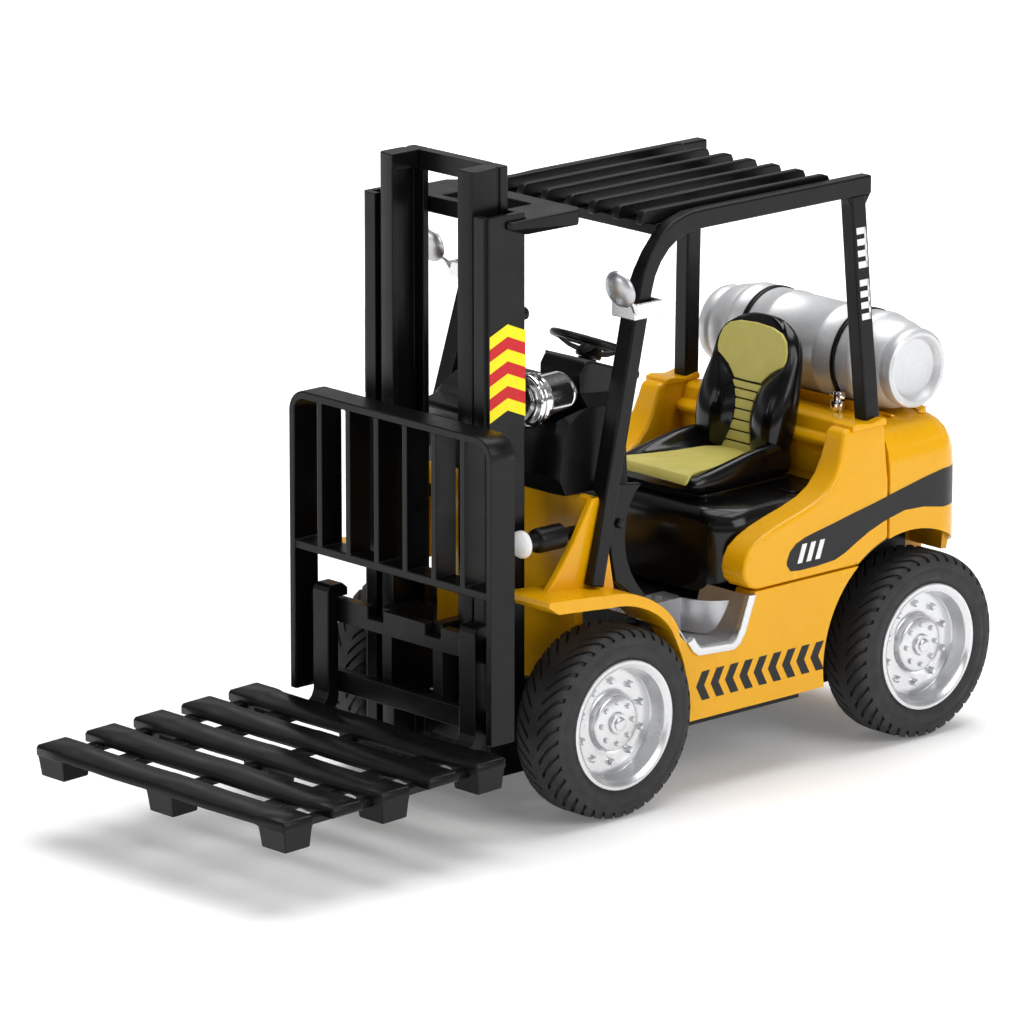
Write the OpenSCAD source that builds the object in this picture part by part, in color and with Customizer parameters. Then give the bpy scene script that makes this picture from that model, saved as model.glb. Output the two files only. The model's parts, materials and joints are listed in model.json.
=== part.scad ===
// Toy forklift truck, 1:20 scale: chassis, bodywork, driver's seat, overhead guard,
// rolling wheels, tilting two-stage mast, lifting carriage with forks, and a pallet.
// +Z is up, the forks point towards -Y, and +X is the truck's left-hand side.
// The ground is z = 0 and the origin is the bottom centre of the whole toy.
// Every sub-part is drawn about the front axle (y = 0) and placed by on_truck().

/* [Wheels] */
// Distance between the front and rear axles
wheelbase = 85; // [83:0.5:87]
// Outer radius of a tyre
tyre_r = 19.3; // [19:0.1:19.5]
// Width of a tyre
tyre_w = 12; // [11:0.5:12]
// Outer radius of a wheel rim
rim_r = 13.2; // [12.5:0.1:13.5]
// Radius of the steel axles
axle_r = 1.5; // [1.3:0.1:1.6]
// Radial running clearance of axles and pins in their bores
run_gap = 0.07; // [0.03:0.01:0.09]

/* [Body] */
// Half the width of the body sides
body_half = 31; // [30.5:0.1:31.5]
// Half the width over the front mudguards
fender_half = 33; // [32:0.1:33.5]
// Height of the bottom edge of the sills
sill_z = 15.4; // [14.5:0.1:16]
// Height of the seam between the sills and the rear cowl
seam_z = 38.7; // [38:0.1:39.5]
// Height of the deck on top of the engine hood
deck_z = 53.5; // [53:0.1:54]

/* [Mast] */
// Height of the top of the inner mast
mast_top_z = 130; // [124:0.5:134]
// Half the width of the outer mast
mast_half = 18.1; // [18.1:0.1:18.4]
// Front-to-back depth of the mast channels
mast_deep = 10.2; // [10.2:0.1:10.6]
// Wall thickness of the mast channels
mast_wall = 1.5; // [1.2:0.1:1.6]

/* [Forks and backrest] */
// Half the width of the load backrest
rest_half = 29.5; // [29:0.1:30]
// Height of the top of the load backrest
rest_top_z = 81.3; // [78:0.1:84]
// Distance from the centre of the truck to the centre of each fork
fork_x = 21.4; // [20.5:0.1:22]
// Width of each fork
fork_w = 4.6; // [4:0.1:5]
// Angle by which the fork blades and the pallet slope down to the front
blade_droop = 1.8; // [0:0.1:2]

/* [Pallet] */
// Width of the pallet across the truck
pallet_w = 73.4; // [70:0.1:75]
// Length of the pallet along the truck
pallet_l = 57.4; // [56:0.1:58]
// Depth of one pallet slat
slat_w = 6.9; // [6:0.1:7.5]

/* [Overhead guard] */
// Height of the top of the guard's side rails
guard_top_z = 117; // [115:0.5:118]
// Half the width over the guard's side rails
guard_half = 25.1; // [24.9:0.1:25.3]
// Number of bars in the roof
roof_bars = 7; // [5:1:7]

/* [Gas tank] */
// Radius of the gas tank
tank_r = 9.9; // [9:0.1:10.1]
// Overall length of the gas tank
tank_l = 56; // [52:0.5:57]

/* [Hidden] */
$fn = 64;
front_y = 0;
rear_y = wheelbase;
axle_z = tyre_r;
tyre_out_x = 34.05;
tyre_in_x = tyre_out_x - tyre_w;
pallet_front_y = -91.4;
// Middle of the toy's length, counted from the front axle.
centre_y = (pallet_front_y + rear_y + tyre_r) / 2;
pallet_rear_y = pallet_front_y + pallet_l;
deck_top_z = 20.2;
mast_front_y = -22;
mast_rear_y = mast_front_y + mast_deep;
slide_gap = 0.4;
inner_half = 13.6;
pivot_y = -7.2;
pivot_z = 14;
pin_r = 1.25;
tank_y = 87.2;
tank_z = 75.8;
rest_front_y = -31.4;
rest_deep = 6.3;
strap_t = 0.3;
lamp_at = [14, -8.4, 82.6];
lamp_r = 5.3;
wheel_hub_y = 23;
wheel_hub_z = 86.8;
wheel_tilt = 22;
arch_centre = [82.5, 19];
arch_r = 24.6;

// Places a sub-part drawn about the front axle in the toy's own frame.
module on_truck() {
    translate([0, -centre_y, 0]) children();
}

// Draws a shape once for the left side, or mirrored for the right side (side = -1).
module on_side(side) {
    if (side > 0) {
        children();
    } else {
        mirror([1, 0, 0]) children();
    }
}

// A box given by its lowest and highest corners.
module box(low, high) {
    translate(low) cube(high - low);
}

// An outline in the Y-Z plane, extruded along +X from x_low to x_high.
module plate_yz(points, x_low, x_high) {
    translate([x_low, 0, 0])
        rotate([90, 0, 90])
            linear_extrude(x_high - x_low) polygon(points);
}

// A round bar along X between two positions.
module bar_x(r, x_low, x_high) {
    translate([x_low, 0, 0])
        rotate([0, 90, 0])
            cylinder(r = r, h = x_high - x_low);
}

// A ring of points on an arc, from angle a to angle b in steps.
function arc(c, r, a, b, steps) =
    [for (i = [0:steps]) c + r * [cos(a + (b - a) * i / steps), sin(a + (b - a) * i / steps)]];

// Base plate with a bearing block for each axle and a lug for the mast pivot.
module chassis_plate() {
    saddle_half = 17;
    difference() {
        union() {
            box([-19, -4, 11.5], [19, rear_y + 6, 13.5]);
            box([-26, 24, 12.6], [26, 56, sill_z]);
            for (y = [front_y, rear_y], x = [-saddle_half, saddle_half - 5]) {
                box([x, y - 4, 12], [x + 5, y + 4, axle_z + 3.6]);
            }
            box([-6, pivot_y, 11.4], [6, -3, 16.6]);
            translate([0, pivot_y, pivot_z]) bar_x(2.6, -6, 6);
        }
        for (y = [front_y, rear_y]) {
            translate([0, y, axle_z]) bar_x(axle_r + run_gap, -30, 30);
        }
        translate([0, pivot_y, pivot_z]) bar_x(pin_r + run_gap, -10, 10);
    }
}

// Four cross-head screws that hold the base plate to the bodywork from below.
module base_screws() {
    for (x = [-15, 15], y = [18, 64]) {
        translate([x, y, 10.7]) {
            difference() {
                cylinder(r1 = 1.6, r2 = 2, h = 0.8);
                box([-1.2, -0.2, -0.1], [1.2, 0.2, 0.35]);
                box([-0.2, -1.2, -0.1], [0.2, 1.2, 0.35]);
            }
        }
    }
}

// Opening in each side for the step tray.
module step_opening() {
    polygon([[15, 45], [17.2, 35.4], [21.6, 29.2], [32.4, 28.4], [35, 30.4], [38.6, 38.8], [40, 45]]);
}

// Outline of the front mudguard and sill, seen from the side.
module sill_outline() {
    fender_c = [-3.8, 21.2];
    difference() {
        union() {
            difference() {
                translate([15, sill_z]) square([53, seam_z - sill_z]);
                step_opening();
            }
            intersection() {
                translate(fender_c) circle(r = 24.9);
                translate([fender_c[0], sill_z]) square([40, 40]);
            }
            polygon([[-3.6, 46.1], [-8, 46.6], [-19.3, 47.6], [-19.4, 46.2], [-16.7, 44.3], [-8, 43.9],
                [-3.6, 43.4]]);
        }
        translate([-2.6, 20.8]) circle(r = 22.6);
        translate([front_y, axle_z]) circle(r = tyre_r + 1);
        translate(arch_centre) circle(r = arch_r);
    }
}

// One moulding: sills, front mudguards, front panel and its side fins.
module lower_body() {
    panel_y = 0.6;
    for (side = [-1, 1]) {
        on_side(side) {
            rotate([90, 0, 90]) {
                translate([0, 0, 25.5]) linear_extrude(body_half - 25.5) sill_outline();
            }
            intersection() {
                rotate([90, 0, 90]) {
                    translate([0, 0, 20]) linear_extrude(fender_half - 20) sill_outline();
                }
                box([20, -20, 36], [fender_half, 14.2, 50]);
            }
            plate_yz([[panel_y - 2, 63.6], [panel_y + 1.4, 63.6], [5.4, 44.6], [-13.8, 45.6]], 23.6, 25.4);
        }
    }
    box([-20.4, panel_y - 1, 23.6], [20.4, panel_y + 1, 45]);
    box([-25.4, panel_y - 1, 44.6], [25.4, panel_y + 1, 63.6]);
    box([-25.8, 54, sill_z], [25.8, 55.6, 36]);
}

// Side outline of the rear cowl, with the swept shoulder and the rear wheel arch.
module cowl_outline() {
    difference() {
        polygon([[39, seam_z + 0.15], [36.6, 39.8], [35.2, 42.2], [36.2, 45.6], [39.7, 48.9], [44, 50.7],
            [48.1, 51.9], [54, 53.7], [58.5, 55.6], [61.6, 58.6], [63.6, 62.4], [65.2, 66.6],
            [76.2, 66.6], [76.2, seam_z + 0.15]]);
        translate(arch_centre) circle(r = arch_r);
    }
}

// Upper rear bodywork: swept sides, bulkhead behind the seat and sockets for the rear posts.
module rear_cowl() {
    for (side = [-1, 1]) {
        on_side(side) {
            intersection() {
                rotate([90, 0, 90]) {
                    translate([0, 0, 24.6]) linear_extrude(body_half - 24.6) cowl_outline();
                }
                hull() {
                    box([20, 30, 36], [body_half, 80, 55]);
                    box([20, 30, 67], [body_half - 1.4, 80, 68]);
                }
            }
        }
    }
    difference() {
        union() {
            box([-24.7, 70.2, 52], [24.7, 76.2, 63]);
            box([-24.7, 71.6, 62.8], [24.7, 76.2, 66]);
            box([-24.7, 69.4, 60.2], [24.7, 70.4, 62.2]);
        }
        box([-22, 71.8, 50], [22, 77, 64]);
    }
}

// One level of the counterweight: square at the front, rounded at the rear.
module weight_level(half, y_end, r, z_low, z_high) {
    translate([0, 0, z_low])
        linear_extrude(z_high - z_low)
            hull() {
                translate([-half, 76.4]) square([2 * half, 1]);
                translate([-half + r, y_end - r]) circle(r = r, $fn = 32);
                translate([half - r, y_end - r]) circle(r = r, $fn = 32);
                translate([0, y_end - 9.4]) scale([1.6, 0.6]) circle(r = 10.8, $fn = 48);
            }
}

// Upper bulk of the counterweight, stepped in towards its top.
module weight_top() {
    hull() {
        weight_level(body_half, 99, 7, 34, 60);
        weight_level(body_half - 1.5, 97, 7, 62.6, 63.6);
        weight_level(body_half - 5, 92, 6, 65.2, 66.2);
    }
}

// Cast counterweight that closes the rear of the body between and above the rear wheels.
module counterweight() {
    difference() {
        union() {
            weight_top();
            weight_level(18.4, 99, 5, 15.4, 34);
        }
        translate([0, tank_y, tank_z]) bar_x(tank_r + strap_t + 0.1, -34, 34);
        for (side = [-1, 1]) {
            on_side(side) {
                translate([18.4, arch_centre[0], arch_centre[1]]) bar_x(arch_r, 0, 20);
                box([18.4, 76, 10], [40, 108, 30]);
            }
        }
        translate([0, rear_y, axle_z]) bar_x(4.4, -20, 20);
        box([-18, 76, 14], [18, 92, 24.5]);
    }
    for (side = [-1, 1]) {
        on_side(side) {
            plate_yz([[94.4, 43], [97.6, 43], [97.6, 40.6], [96.4, 36.6], [94.9, 36.8], [95.2, 40]], 18.3, 27.5);
        }
    }
}

// Gloss black hood under the seat, with large rounded front corners.
module engine_hood() {
    module rounded_block(half, y_front, r, z_low, z_high) {
        translate([0, 0, z_low])
            linear_extrude(z_high - z_low)
                hull() {
                    translate([-half + r, y_front + r]) circle(r = r);
                    translate([half - r, y_front + r]) circle(r = r);
                    translate([-half, 68]) square([2 * half, 1.2]);
                }
    }
    hull() {
        rounded_block(24.4, 35.8, 8, 36.6, 46);
        rounded_block(24.2, 36.6, 8, 50, 51);
        rounded_block(23.2, 38.2, 7.4, 52.5, deck_z);
    }
}

// Driver's floor between the front panel and the hood.
module floor_pan() {
    box([-21.4, 1.9, 33.2], [21.4, 15, 35.2]);
    box([-18, 15, 33.2], [18, 44, 35.2]);
}

// Bright step well: floor, back wall that follows the hood, and a raised outer rim.
module step_tray(side) {
    on_side(side) {
        difference() {
            plate_yz([[17.3, 36.6], [18.4, 34.6], [21.9, 29.5], [32.2, 28.7], [34.7, 30.6], [37.6, 37.6],
                [37.2, 38.4], [17.3, 38.4]], 18.1, body_half + 0.1);
            plate_yz([[14, 50], [19.4, 35.2], [22.7, 30.9], [31.7, 30.2], [33.5, 31.5], [36.2, 38],
                [38, 50]], 19.3, body_half + 1);
            box([15, 10, 36.4], [24.6, 50, 40]);
        }
        intersection() {
            translate([17.4, 38.4, 29.6]) cylinder(r = 7.8, h = 6.8);
            plate_yz([[30, 29.6], [32.2, 29.2], [34.6, 31], [36.8, 36.4], [30, 36.4]], 18.1, 25.4);
        }
        plate_yz([[20, 30.6], [21.5, 28.7], [32.5, 27.8], [35.2, 29.9], [38.6, 38.4], [37.5, 38.6],
            [33.9, 31.3], [31.9, 29.9], [22.3, 30.6], [20.9, 32.2]], body_half, body_half + 0.7);
    }
}

// Instrument cowl on top of the front panel.
module dash_cowl() {
    difference() {
        union() {
            hull() {
                box([-21.5, -3.4, 63.8], [21.5, 14, 66]);
                box([-20, -3.4, 72], [20, 13.6, 74]);
            }
            hull() {
                box([-20, -3.4, 72], [20, 13.6, 74]);
                box([-16, 3.2, 85], [16, 14, 86]);
                box([-15, 6, 88], [15, 12, 88.6]);
            }
        }
        translate(lamp_at) rotate([-90, 0, 0]) cylinder(r = lamp_r + 0.1, h = 12.3);
    }
}

// Steering column, sloping back to the hub of the steering wheel.
module steering_column() {
    translate([0, wheel_hub_y, wheel_hub_z])
        rotate([-wheel_tilt, 0, 0])
            translate([0, 0, -7.6]) {
                cylinder(r = 1.9, h = 4.4);
                cylinder(r = 1.1, h = 6.9);
            }
    hull() {
        box([-4, 14.05, 78], [4, 14.3, 86]);
        translate([0, wheel_hub_y - 2.4, wheel_hub_z - 6.6])
            rotate([-wheel_tilt, 0, 0]) cylinder(r = 2.6, h = 1.4, $fn = 32);
    }
}

// Steering wheel: rim, three spokes, hub and a knob for one-handed turning.
module steering_wheel() {
    translate([0, wheel_hub_y, wheel_hub_z]) {
        rotate([-wheel_tilt, 0, 0]) {
            rotate_extrude() translate([8, 0]) circle(r = 0.85, $fn = 24);
            translate([0, 0, -0.5]) cylinder(r = 2.2, h = 1.4);
            for (a = [90, 210, 330]) {
                rotate([0, 0, a]) box([1.8, -0.7, -0.4], [7.6, 0.7, 0.4]);
            }
            rotate([0, 0, 150]) {
                translate([8, 0, 0.5]) cylinder(r = 0.8, h = 2.6);
            }
        }
    }
}

// Hand lever with a ball knob, to the side of the steering column.
module control_lever() {
    translate([11, 14.1, 77]) {
        rotate([-62, 0, 0]) cylinder(r = 0.6, h = 10.5);
        rotate([-62, 0, 0]) translate([0, 0, 11]) sphere(r = 1.3);
    }
}

// Outline of the seat back, in its own plane, from the base up.
module seat_back_outline(grow) {
    hull() {
        translate([-9 - grow, 0]) square([18 + 2 * grow, 1]);
        translate([-11.2 - grow, 11]) square([22.4 + 2 * grow, 3]);
        translate([0, 24.5]) scale([1.5, 1]) circle(r = 6 + grow * 0.7);
    }
}

// Gloss black bucket seat with raised side bolsters.
module seat_shell() {
    back_lean = 12;
    difference() {
        union() {
            hull() {
                box([-10.5, 40.5, deck_z + 0.1], [10.5, 69, deck_z + 1.2]);
                box([-13.2, 39, deck_z + 3.4], [13.2, 67, deck_z + 4.6]);
            }
            for (side = [-1, 1]) {
                on_side(side) {
                    hull() {
                        translate([10.6, 45, deck_z + 4.6]) sphere(r = 2.2, $fn = 24);
                        translate([10.6, 60, deck_z + 6]) sphere(r = 2.8, $fn = 24);
                    }
                }
            }
            translate([0, 65.6, deck_z + 0.6]) {
                rotate([90 - back_lean, 0, 0]) {
                    translate([0, 0, -2.2]) linear_extrude(5.4) seat_back_outline(1.6);
                }
            }
            for (side = [-1, 1]) {
                on_side(side) {
                    translate([0, 65.6, deck_z + 0.6]) {
                        rotate([90 - back_lean, 0, 0]) {
                            hull() {
                                translate([9.4, 7, 3.6]) sphere(r = 2.8, $fn = 24);
                                translate([9.8, 16, 3.4]) sphere(r = 3, $fn = 24);
                            }
                        }
                    }
                }
            }
        }
        box([-20, 30, deck_z - 6], [20, 80, deck_z + 0.1]);
    }
}

// Seat upholstery: cushion panel, ribbed waist and rounded head panel.
module seat_insert() {
    back_lean = 12;
    plate_yz([[40.4, deck_z + 4.6], [62, deck_z + 4.6], [62, deck_z + 5.6], [58, deck_z + 5.4],
        [41, deck_z + 5.2]], -7.4, 7.4);
    translate([0, 65.6, deck_z + 0.6]) {
        rotate([90 - back_lean, 0, 0]) {
            translate([0, 0, 3.2]) {
                for (y = [6:2.1:14.5]) {
                    box([-4.4, y, 0], [4.4, y + 1.8, 0.7]);
                }
                linear_extrude(0.8) {
                    hull() {
                        translate([-4.6, 16.2]) square([9.2, 1]);
                        translate([0, 24.3]) scale([1.5, 1]) circle(r = 4.9);
                    }
                }
            }
        }
    }
}

// One side of the overhead guard: sloping front post, bent roof rail and rear post.
module guard_side(side) {
    on_side(side) {
        difference() {
            intersection() {
                plate_yz([[-3.4, 46.4], [0.2, 46.4], [15, 99], [16.6, 104], [19, 108.4], [22.4, 111.6],
                    [26.4, 113.1], [70.4, 113.1], [72.6, 66.65], [76.4, 66.65], [74.8, 113.1],
                    [76.4, 113.4], [76.4, guard_top_z], [27, guard_top_z], [22, 116], [17.6, 112.8],
                    [14.2, 108.2], [11.6, 101.6]], 18, 30);
                union() {
                    hull() {
                        box([23.6, -12, 46], [28, 20, 46.4]);
                        box([guard_half - 4.4, -12, 104], [guard_half, 32, 106]);
                    }
                    box([guard_half - 3, 14, 104.5], [guard_half, 80, 120]);
                    hull() {
                        box([24.4, 70, 65.5], [28, 80, 66]);
                        box([guard_half - 3.6, 70, 112], [guard_half, 80, 114]);
                    }
                }
            }
            box([20, -20, 40], [25.45, 20, 63.65]);
        }
    }
}

// Cross-beam under the front ends of the roof bars.
module guard_front_beam() {
    box([-guard_half + 3, 19.4, 112.6], [guard_half - 3, 23, 115]);
}

// Cross-beam under the rear ends of the roof bars.
module guard_rear_beam() {
    box([-guard_half + 3, 62, 112.6], [guard_half - 3, 65.6, 115]);
}

// Lengthwise roof bars with rounded rear ends.
module roof_bar_set() {
    pitch = 41.2 / (roof_bars - 1);
    for (i = [0:roof_bars - 1]) {
        x = (i - (roof_bars - 1) / 2) * pitch;
        translate([x - 0.9, 0, 0]) {
            difference() {
                box([0, 16, 115], [1.8, 68.2, 118]);
                translate([-1, 68.2 - 1.4, 118 - 1.4]) {
                    difference() {
                        box([0, 0, 0], [5, 3, 3]);
                        bar_x(1.4, -1, 6);
                    }
                }
            }
        }
    }
}

// Curved black bracket that joins the foot of the front post to the dash.
module post_bracket(side) {
    on_side(side) {
        difference() {
            plate_yz([[2.3, 63.5], [12.2, 63.5], [11.6, 62.6], [10.4, 60], [9.4, 57], [9.2, 53],
                [9.6, 49], [11, 45.4], [14, 41.2], [13.2, 39.8], [5.6, 45.4]], 23.7, 25.2);
            translate([20, 6, 55]) bar_x(0.9, 0, 10);
        }
    }
}

// Round mirror on a short clip.
module mirror_head(side) {
    on_side(side) {
        translate([27.6, 5.2, 105.3]) {
            rotate([104.5, 0, 0]) {
                cylinder(r = 3.9, h = 0.8);
                translate([0, 0, 0.8]) cylinder(r1 = 3.9, r2 = 2.4, h = 1.2);
            }
        }
    }
}

// Bright strap round the front post that carries the mirror.
module mirror_band(side) {
    on_side(side) {
        difference() {
            box([20.2, 8.6, 98], [27, 16.7, 101.2]);
            box([20.7, 10.2, 97], [26.2, 15.8, 102]);
        }
        hull() {
            box([26.2, 8.6, 98.6], [27, 9.6, 100.6]);
            translate([27.3, 7.25, 102.2]) sphere(r = 1.2, $fn = 24);
        }
    }
}

// Chrome work lamp with a flared bezel, on the left of the cowl.
module work_lamp() {
    translate(lamp_at) {
        rotate([-90, 0, 0]) {
            rotate_extrude() {
                polygon([[0, 1.2], [4.2, 1], [4.9, 0], [5.6, 0.4], [5.6, 1.2], [5, 2.4], [lamp_r, 3],
                    [lamp_r, 9], [4.6, 10.6], [3, 11.8], [0, 12.2]]);
            }
        }
    }
}

// Small round headlamp on a black stalk in front of the front panel.
module headlamp(side) {
    on_side(side) {
        difference() {
            translate([22, -18.2, 56.6]) {
                rotate([-90, 0, 0]) {
                    cylinder(r = 2.8, h = 1.6);
                    translate([0, 0, 1.6]) cylinder(r = 2, h = 3.4);
                    translate([0, 0, 5]) cylinder(r = 2.5, h = 12.8);
                }
            }
            box([23.55, -9, 50], [30, 5, 62]);
        }
    }
}

// Gas tank lying across the rear, with domed ends, foot rings and weld bands.
module gas_tank() {
    half = tank_l / 2;
    shoulder = half - 10;
    translate([0, tank_y, tank_z]) {
        rotate([0, 90, 0]) {
            rotate_extrude() {
                polygon(concat(
                    [[0, -half + 1.6], [6.4, -half + 1.6], [6.4, -half], [7.6, -half], [8.2, -half + 0.8],
                     [8.2, -half + 3]],
                    arc([tank_r - 5, -shoulder], 5, -50, 0, 6),
                    [[tank_r, -8.4], [tank_r + 0.25, -8], [tank_r + 0.25, -7], [tank_r, -6.6],
                     [tank_r, 6.6], [tank_r + 0.25, 7], [tank_r + 0.25, 8], [tank_r, 8.4]],
                    arc([tank_r - 5, shoulder], 5, 0, 50, 6),
                    [[8.2, half - 3], [8.2, half - 0.8], [7.6, half], [6.4, half], [6.4, half - 1.6],
                     [0, half - 1.6]]
                ));
            }
        }
    }
}

// Two thin bands that hold the gas tank on its cradle.
module tank_straps() {
    for (x = [-13.4, 13.4]) {
        translate([x, tank_y, tank_z]) {
            difference() {
                bar_x(tank_r + strap_t, -0.6, 0.6);
                bar_x(tank_r, -2, 2);
            }
        }
    }
}

// Raised seat for the gas tank on top of the counterweight.
module tank_cradle() {
    difference() {
        union() {
            box([-22, tank_y - 7, 64.8], [22, tank_y + 7, 69.8]);
            box([-25.4, tank_y - 5, 64.8], [25.4, tank_y + 5, 68.6]);
        }
        weight_top();
        translate([0, tank_y, tank_z]) bar_x(tank_r + strap_t + 0.1, -30, 30);
    }
}

// Bright valve and hose union in front of the tank.
module tank_valve() {
    translate([14.6, 77.6, 66.25]) {
        cylinder(r = 1.5, h = 2.2);
        cylinder(r = 0.9, h = 4);
        translate([0, 0, 3.4]) rotate([0, 90, 0]) cylinder(r = 0.8, h = 3, center = true);
    }
}

// Steel axle rod carried in the chassis plate.
module axle(y) {
    translate([0, y, axle_z]) bar_x(axle_r, -31.6, 31.6);
}

// Wheel rim: deep lip, bolt face with a ring of studs, and a centre cap.
module rim(side, y) {
    on_side(side) {
        translate([tyre_out_x, y, axle_z]) {
            rotate([0, 90, 0]) {
                difference() {
                    rotate_extrude() {
                        polygon([[0, -11], [4, -11], [4, -5], [rim_r - 0.8, -6], [rim_r - 0.8, -tyre_w + 0.6],
                            [rim_r, -tyre_w + 0.6], [rim_r, -0.3], [rim_r - 0.5, 0.3], [rim_r - 1.2, 0.3],
                            [rim_r - 1.8, -1.6], [9.2, -2], [6.4, -2.2], [6, -3.4], [3.2, -3.4], [3, -1.6],
                            [2.2, -1.2], [0, -1.1]]);
                    }
                    translate([0, 0, -12]) cylinder(r = axle_r, h = 9.6);
                    for (i = [0:9]) {
                        rotate([0, 0, i * 36]) translate([9.6, 0, -4]) cylinder(r = 0.55, h = 5);
                    }
                }
                for (i = [0:9]) {
                    rotate([0, 0, i * 36 + 18]) translate([8, 0, -2.6]) cylinder(r = 0.55, h = 1.2);
                }
                for (i = [0:7]) {
                    rotate([0, 0, i * 45]) translate([4.6, 0, -3.8]) cylinder(r = 0.5, h = 1.2);
                }
            }
        }
    }
}

// Rubber tyre with rounded shoulders.
module tyre(side, y) {
    on_side(side) {
        translate([tyre_out_x, y, axle_z]) {
            rotate([0, 90, 0]) {
                rotate_extrude() {
                    polygon(concat(
                        [[rim_r, -tyre_w + 0.4], [rim_r + 1.6, -tyre_w]],
                        arc([tyre_r - 3, -tyre_w + 3], 3, -80, 0, 8),
                        arc([tyre_r - 3, -3], 3, 0, 80, 8),
                        [[rim_r + 1.6, 0], [rim_r, -0.4]]
                    ));
                }
            }
        }
    }
}

// Outer mast channel, open towards the middle of the truck.
module outer_channel(side) {
    on_side(side) {
        difference() {
            box([14.2, mast_front_y, 9], [mast_half, mast_rear_y, 121.5]);
            box([14, mast_front_y + mast_wall, 8], [mast_half - mast_wall, mast_rear_y - mast_wall, 123]);
        }
        translate([mast_half - 1.5, mast_rear_y - 0.2, 101]) {
            rotate([-90, 0, 0]) cylinder(r = 1.3, h = 1.8);
        }
    }
}

// Top plate that ties the outer channels together behind the inner mast.
module mast_top_plate() {
    translate([0, 0, 117]) {
        linear_extrude(3.2) {
            difference() {
                union() {
                    polygon([[-19.2, mast_rear_y], [19.2, mast_rear_y], [19.2, 1.4], [17.6, 3], [-17.6, 3],
                        [-19.2, 1.4]]);
                    for (side = [-1, 1]) {
                        translate([side * (mast_half + 0.55) - 0.55, -17]) square([1.1, 6]);
                    }
                }
                translate([-9, -9.4]) square([18, 7.6]);
            }
        }
    }
    translate([0, -6.6, 118.6]) bar_x(0.8, -10, 10);
}

// Lower cross-tie of the outer mast, with the two ears that hold the pivot pin.
module mast_lower_tie() {
    difference() {
        union() {
            box([-mast_half, mast_rear_y, 11], [mast_half, mast_rear_y + 1.2, 19.5]);
            for (x = [-9, 6.4]) {
                box([x, mast_rear_y + 0.6, 11.4], [x + 2.6, pivot_y, 16.6]);
                translate([x, pivot_y, pivot_z]) bar_x(2.6, 0, 2.6);
            }
        }
        translate([0, pivot_y, pivot_z]) bar_x(pin_r, -12, 12);
    }
}

// Pin that the mast tilts on.
module mast_pin() {
    translate([0, pivot_y, pivot_z]) bar_x(pin_r, -9.6, 9.6);
}

// Inner mast channel, with a tongue that runs in the groove of the outer channel.
module inner_channel(side) {
    front = mast_front_y + 0.2;
    rear = mast_rear_y - slide_gap;
    tongue_gap = mast_wall + 0.35;
    on_side(side) {
        difference() {
            box([9.4, front, 10], [inner_half, rear, mast_top_z]);
            box([9, front + mast_wall, 9], [inner_half - mast_wall, rear - mast_wall, mast_top_z - 3.4]);
        }
        box([inner_half, mast_front_y + tongue_gap, 12],
            [mast_half - mast_wall - 0.4, mast_rear_y - tongue_gap, 68]);
    }
}

// Crosshead that joins the inner channels at the top.
module inner_crosshead() {
    rear = mast_rear_y - slide_gap;
    box([-9.4, rear - 2.6, mast_top_z - 3.8], [9.4, rear, mast_top_z]);
}

// Tie that joins the inner channels near the bottom.
module inner_lower_tie() {
    rear = mast_rear_y - slide_gap;
    box([-9.4, rear - 1.4, 12], [9.4, rear, 18]);
}

// The two fork bars; the upper one has two locating notches in its top edge.
module carriage_bars() {
    difference() {
        box([-27.9, -27.6, 34.8], [27.9, -25.4, 39.6]);
        for (x = [-10.6, 6.2]) {
            box([x, -28, 37.3], [x + 4.4, -25, 40]);
        }
    }
    box([-27.9, -27.6, 20.4], [27.9, -25.4, 24.8]);
}

// Carriage back plates with the shoes that run inside the inner channels.
module carriage_slides() {
    front = mast_front_y + 0.2;
    rear = mast_rear_y - slide_gap;
    for (side = [-1, 1]) {
        on_side(side) {
            box([6, -25.4, 20.4], [8.8, front + 4, 39.6]);
            box([6, front + mast_wall + 0.3, 21.4],
                [inner_half - mast_wall - 0.3, rear - mast_wall - 0.3, 38.6]);
        }
    }
}

// A point of the sloping fork blade, counted from the blade's heel.
function on_blade(y, z) = [
    -32.4 + y * cos(blade_droop) - z * sin(blade_droop),
    16.7 + y * sin(blade_droop) + z * cos(blade_droop)
];

// One fork: hooked shank on the carriage bars, curved heel and tapered blade.
module fork(side) {
    shank_front = -30.5;
    blade_l = 52;
    on_side(side) {
        plate_yz(concat(
            [[-27.7, 19.4], [-27.7, 39.9], [-25.2, 39.9], [-25.2, 41.6], [-26.4, 42.6], [-29.3, 42.6],
             [-30.1, 42.2], [shank_front, 41.4], [shank_front, 20.8], [-31, 19.5], [-31.8, 18.8]],
            [on_blade(-1, 1.9), on_blade(4 - blade_l, 1.9), on_blade(-blade_l, 1.3),
             on_blade(-blade_l, 0.9), on_blade(4 - blade_l, 0.1), on_blade(0, 0.1)],
            [[-30.6, 16.8], [-29, 17.2], [-28, 18]]
        ), fork_x - fork_w / 2, fork_x + fork_w / 2);
    }
}

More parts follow.
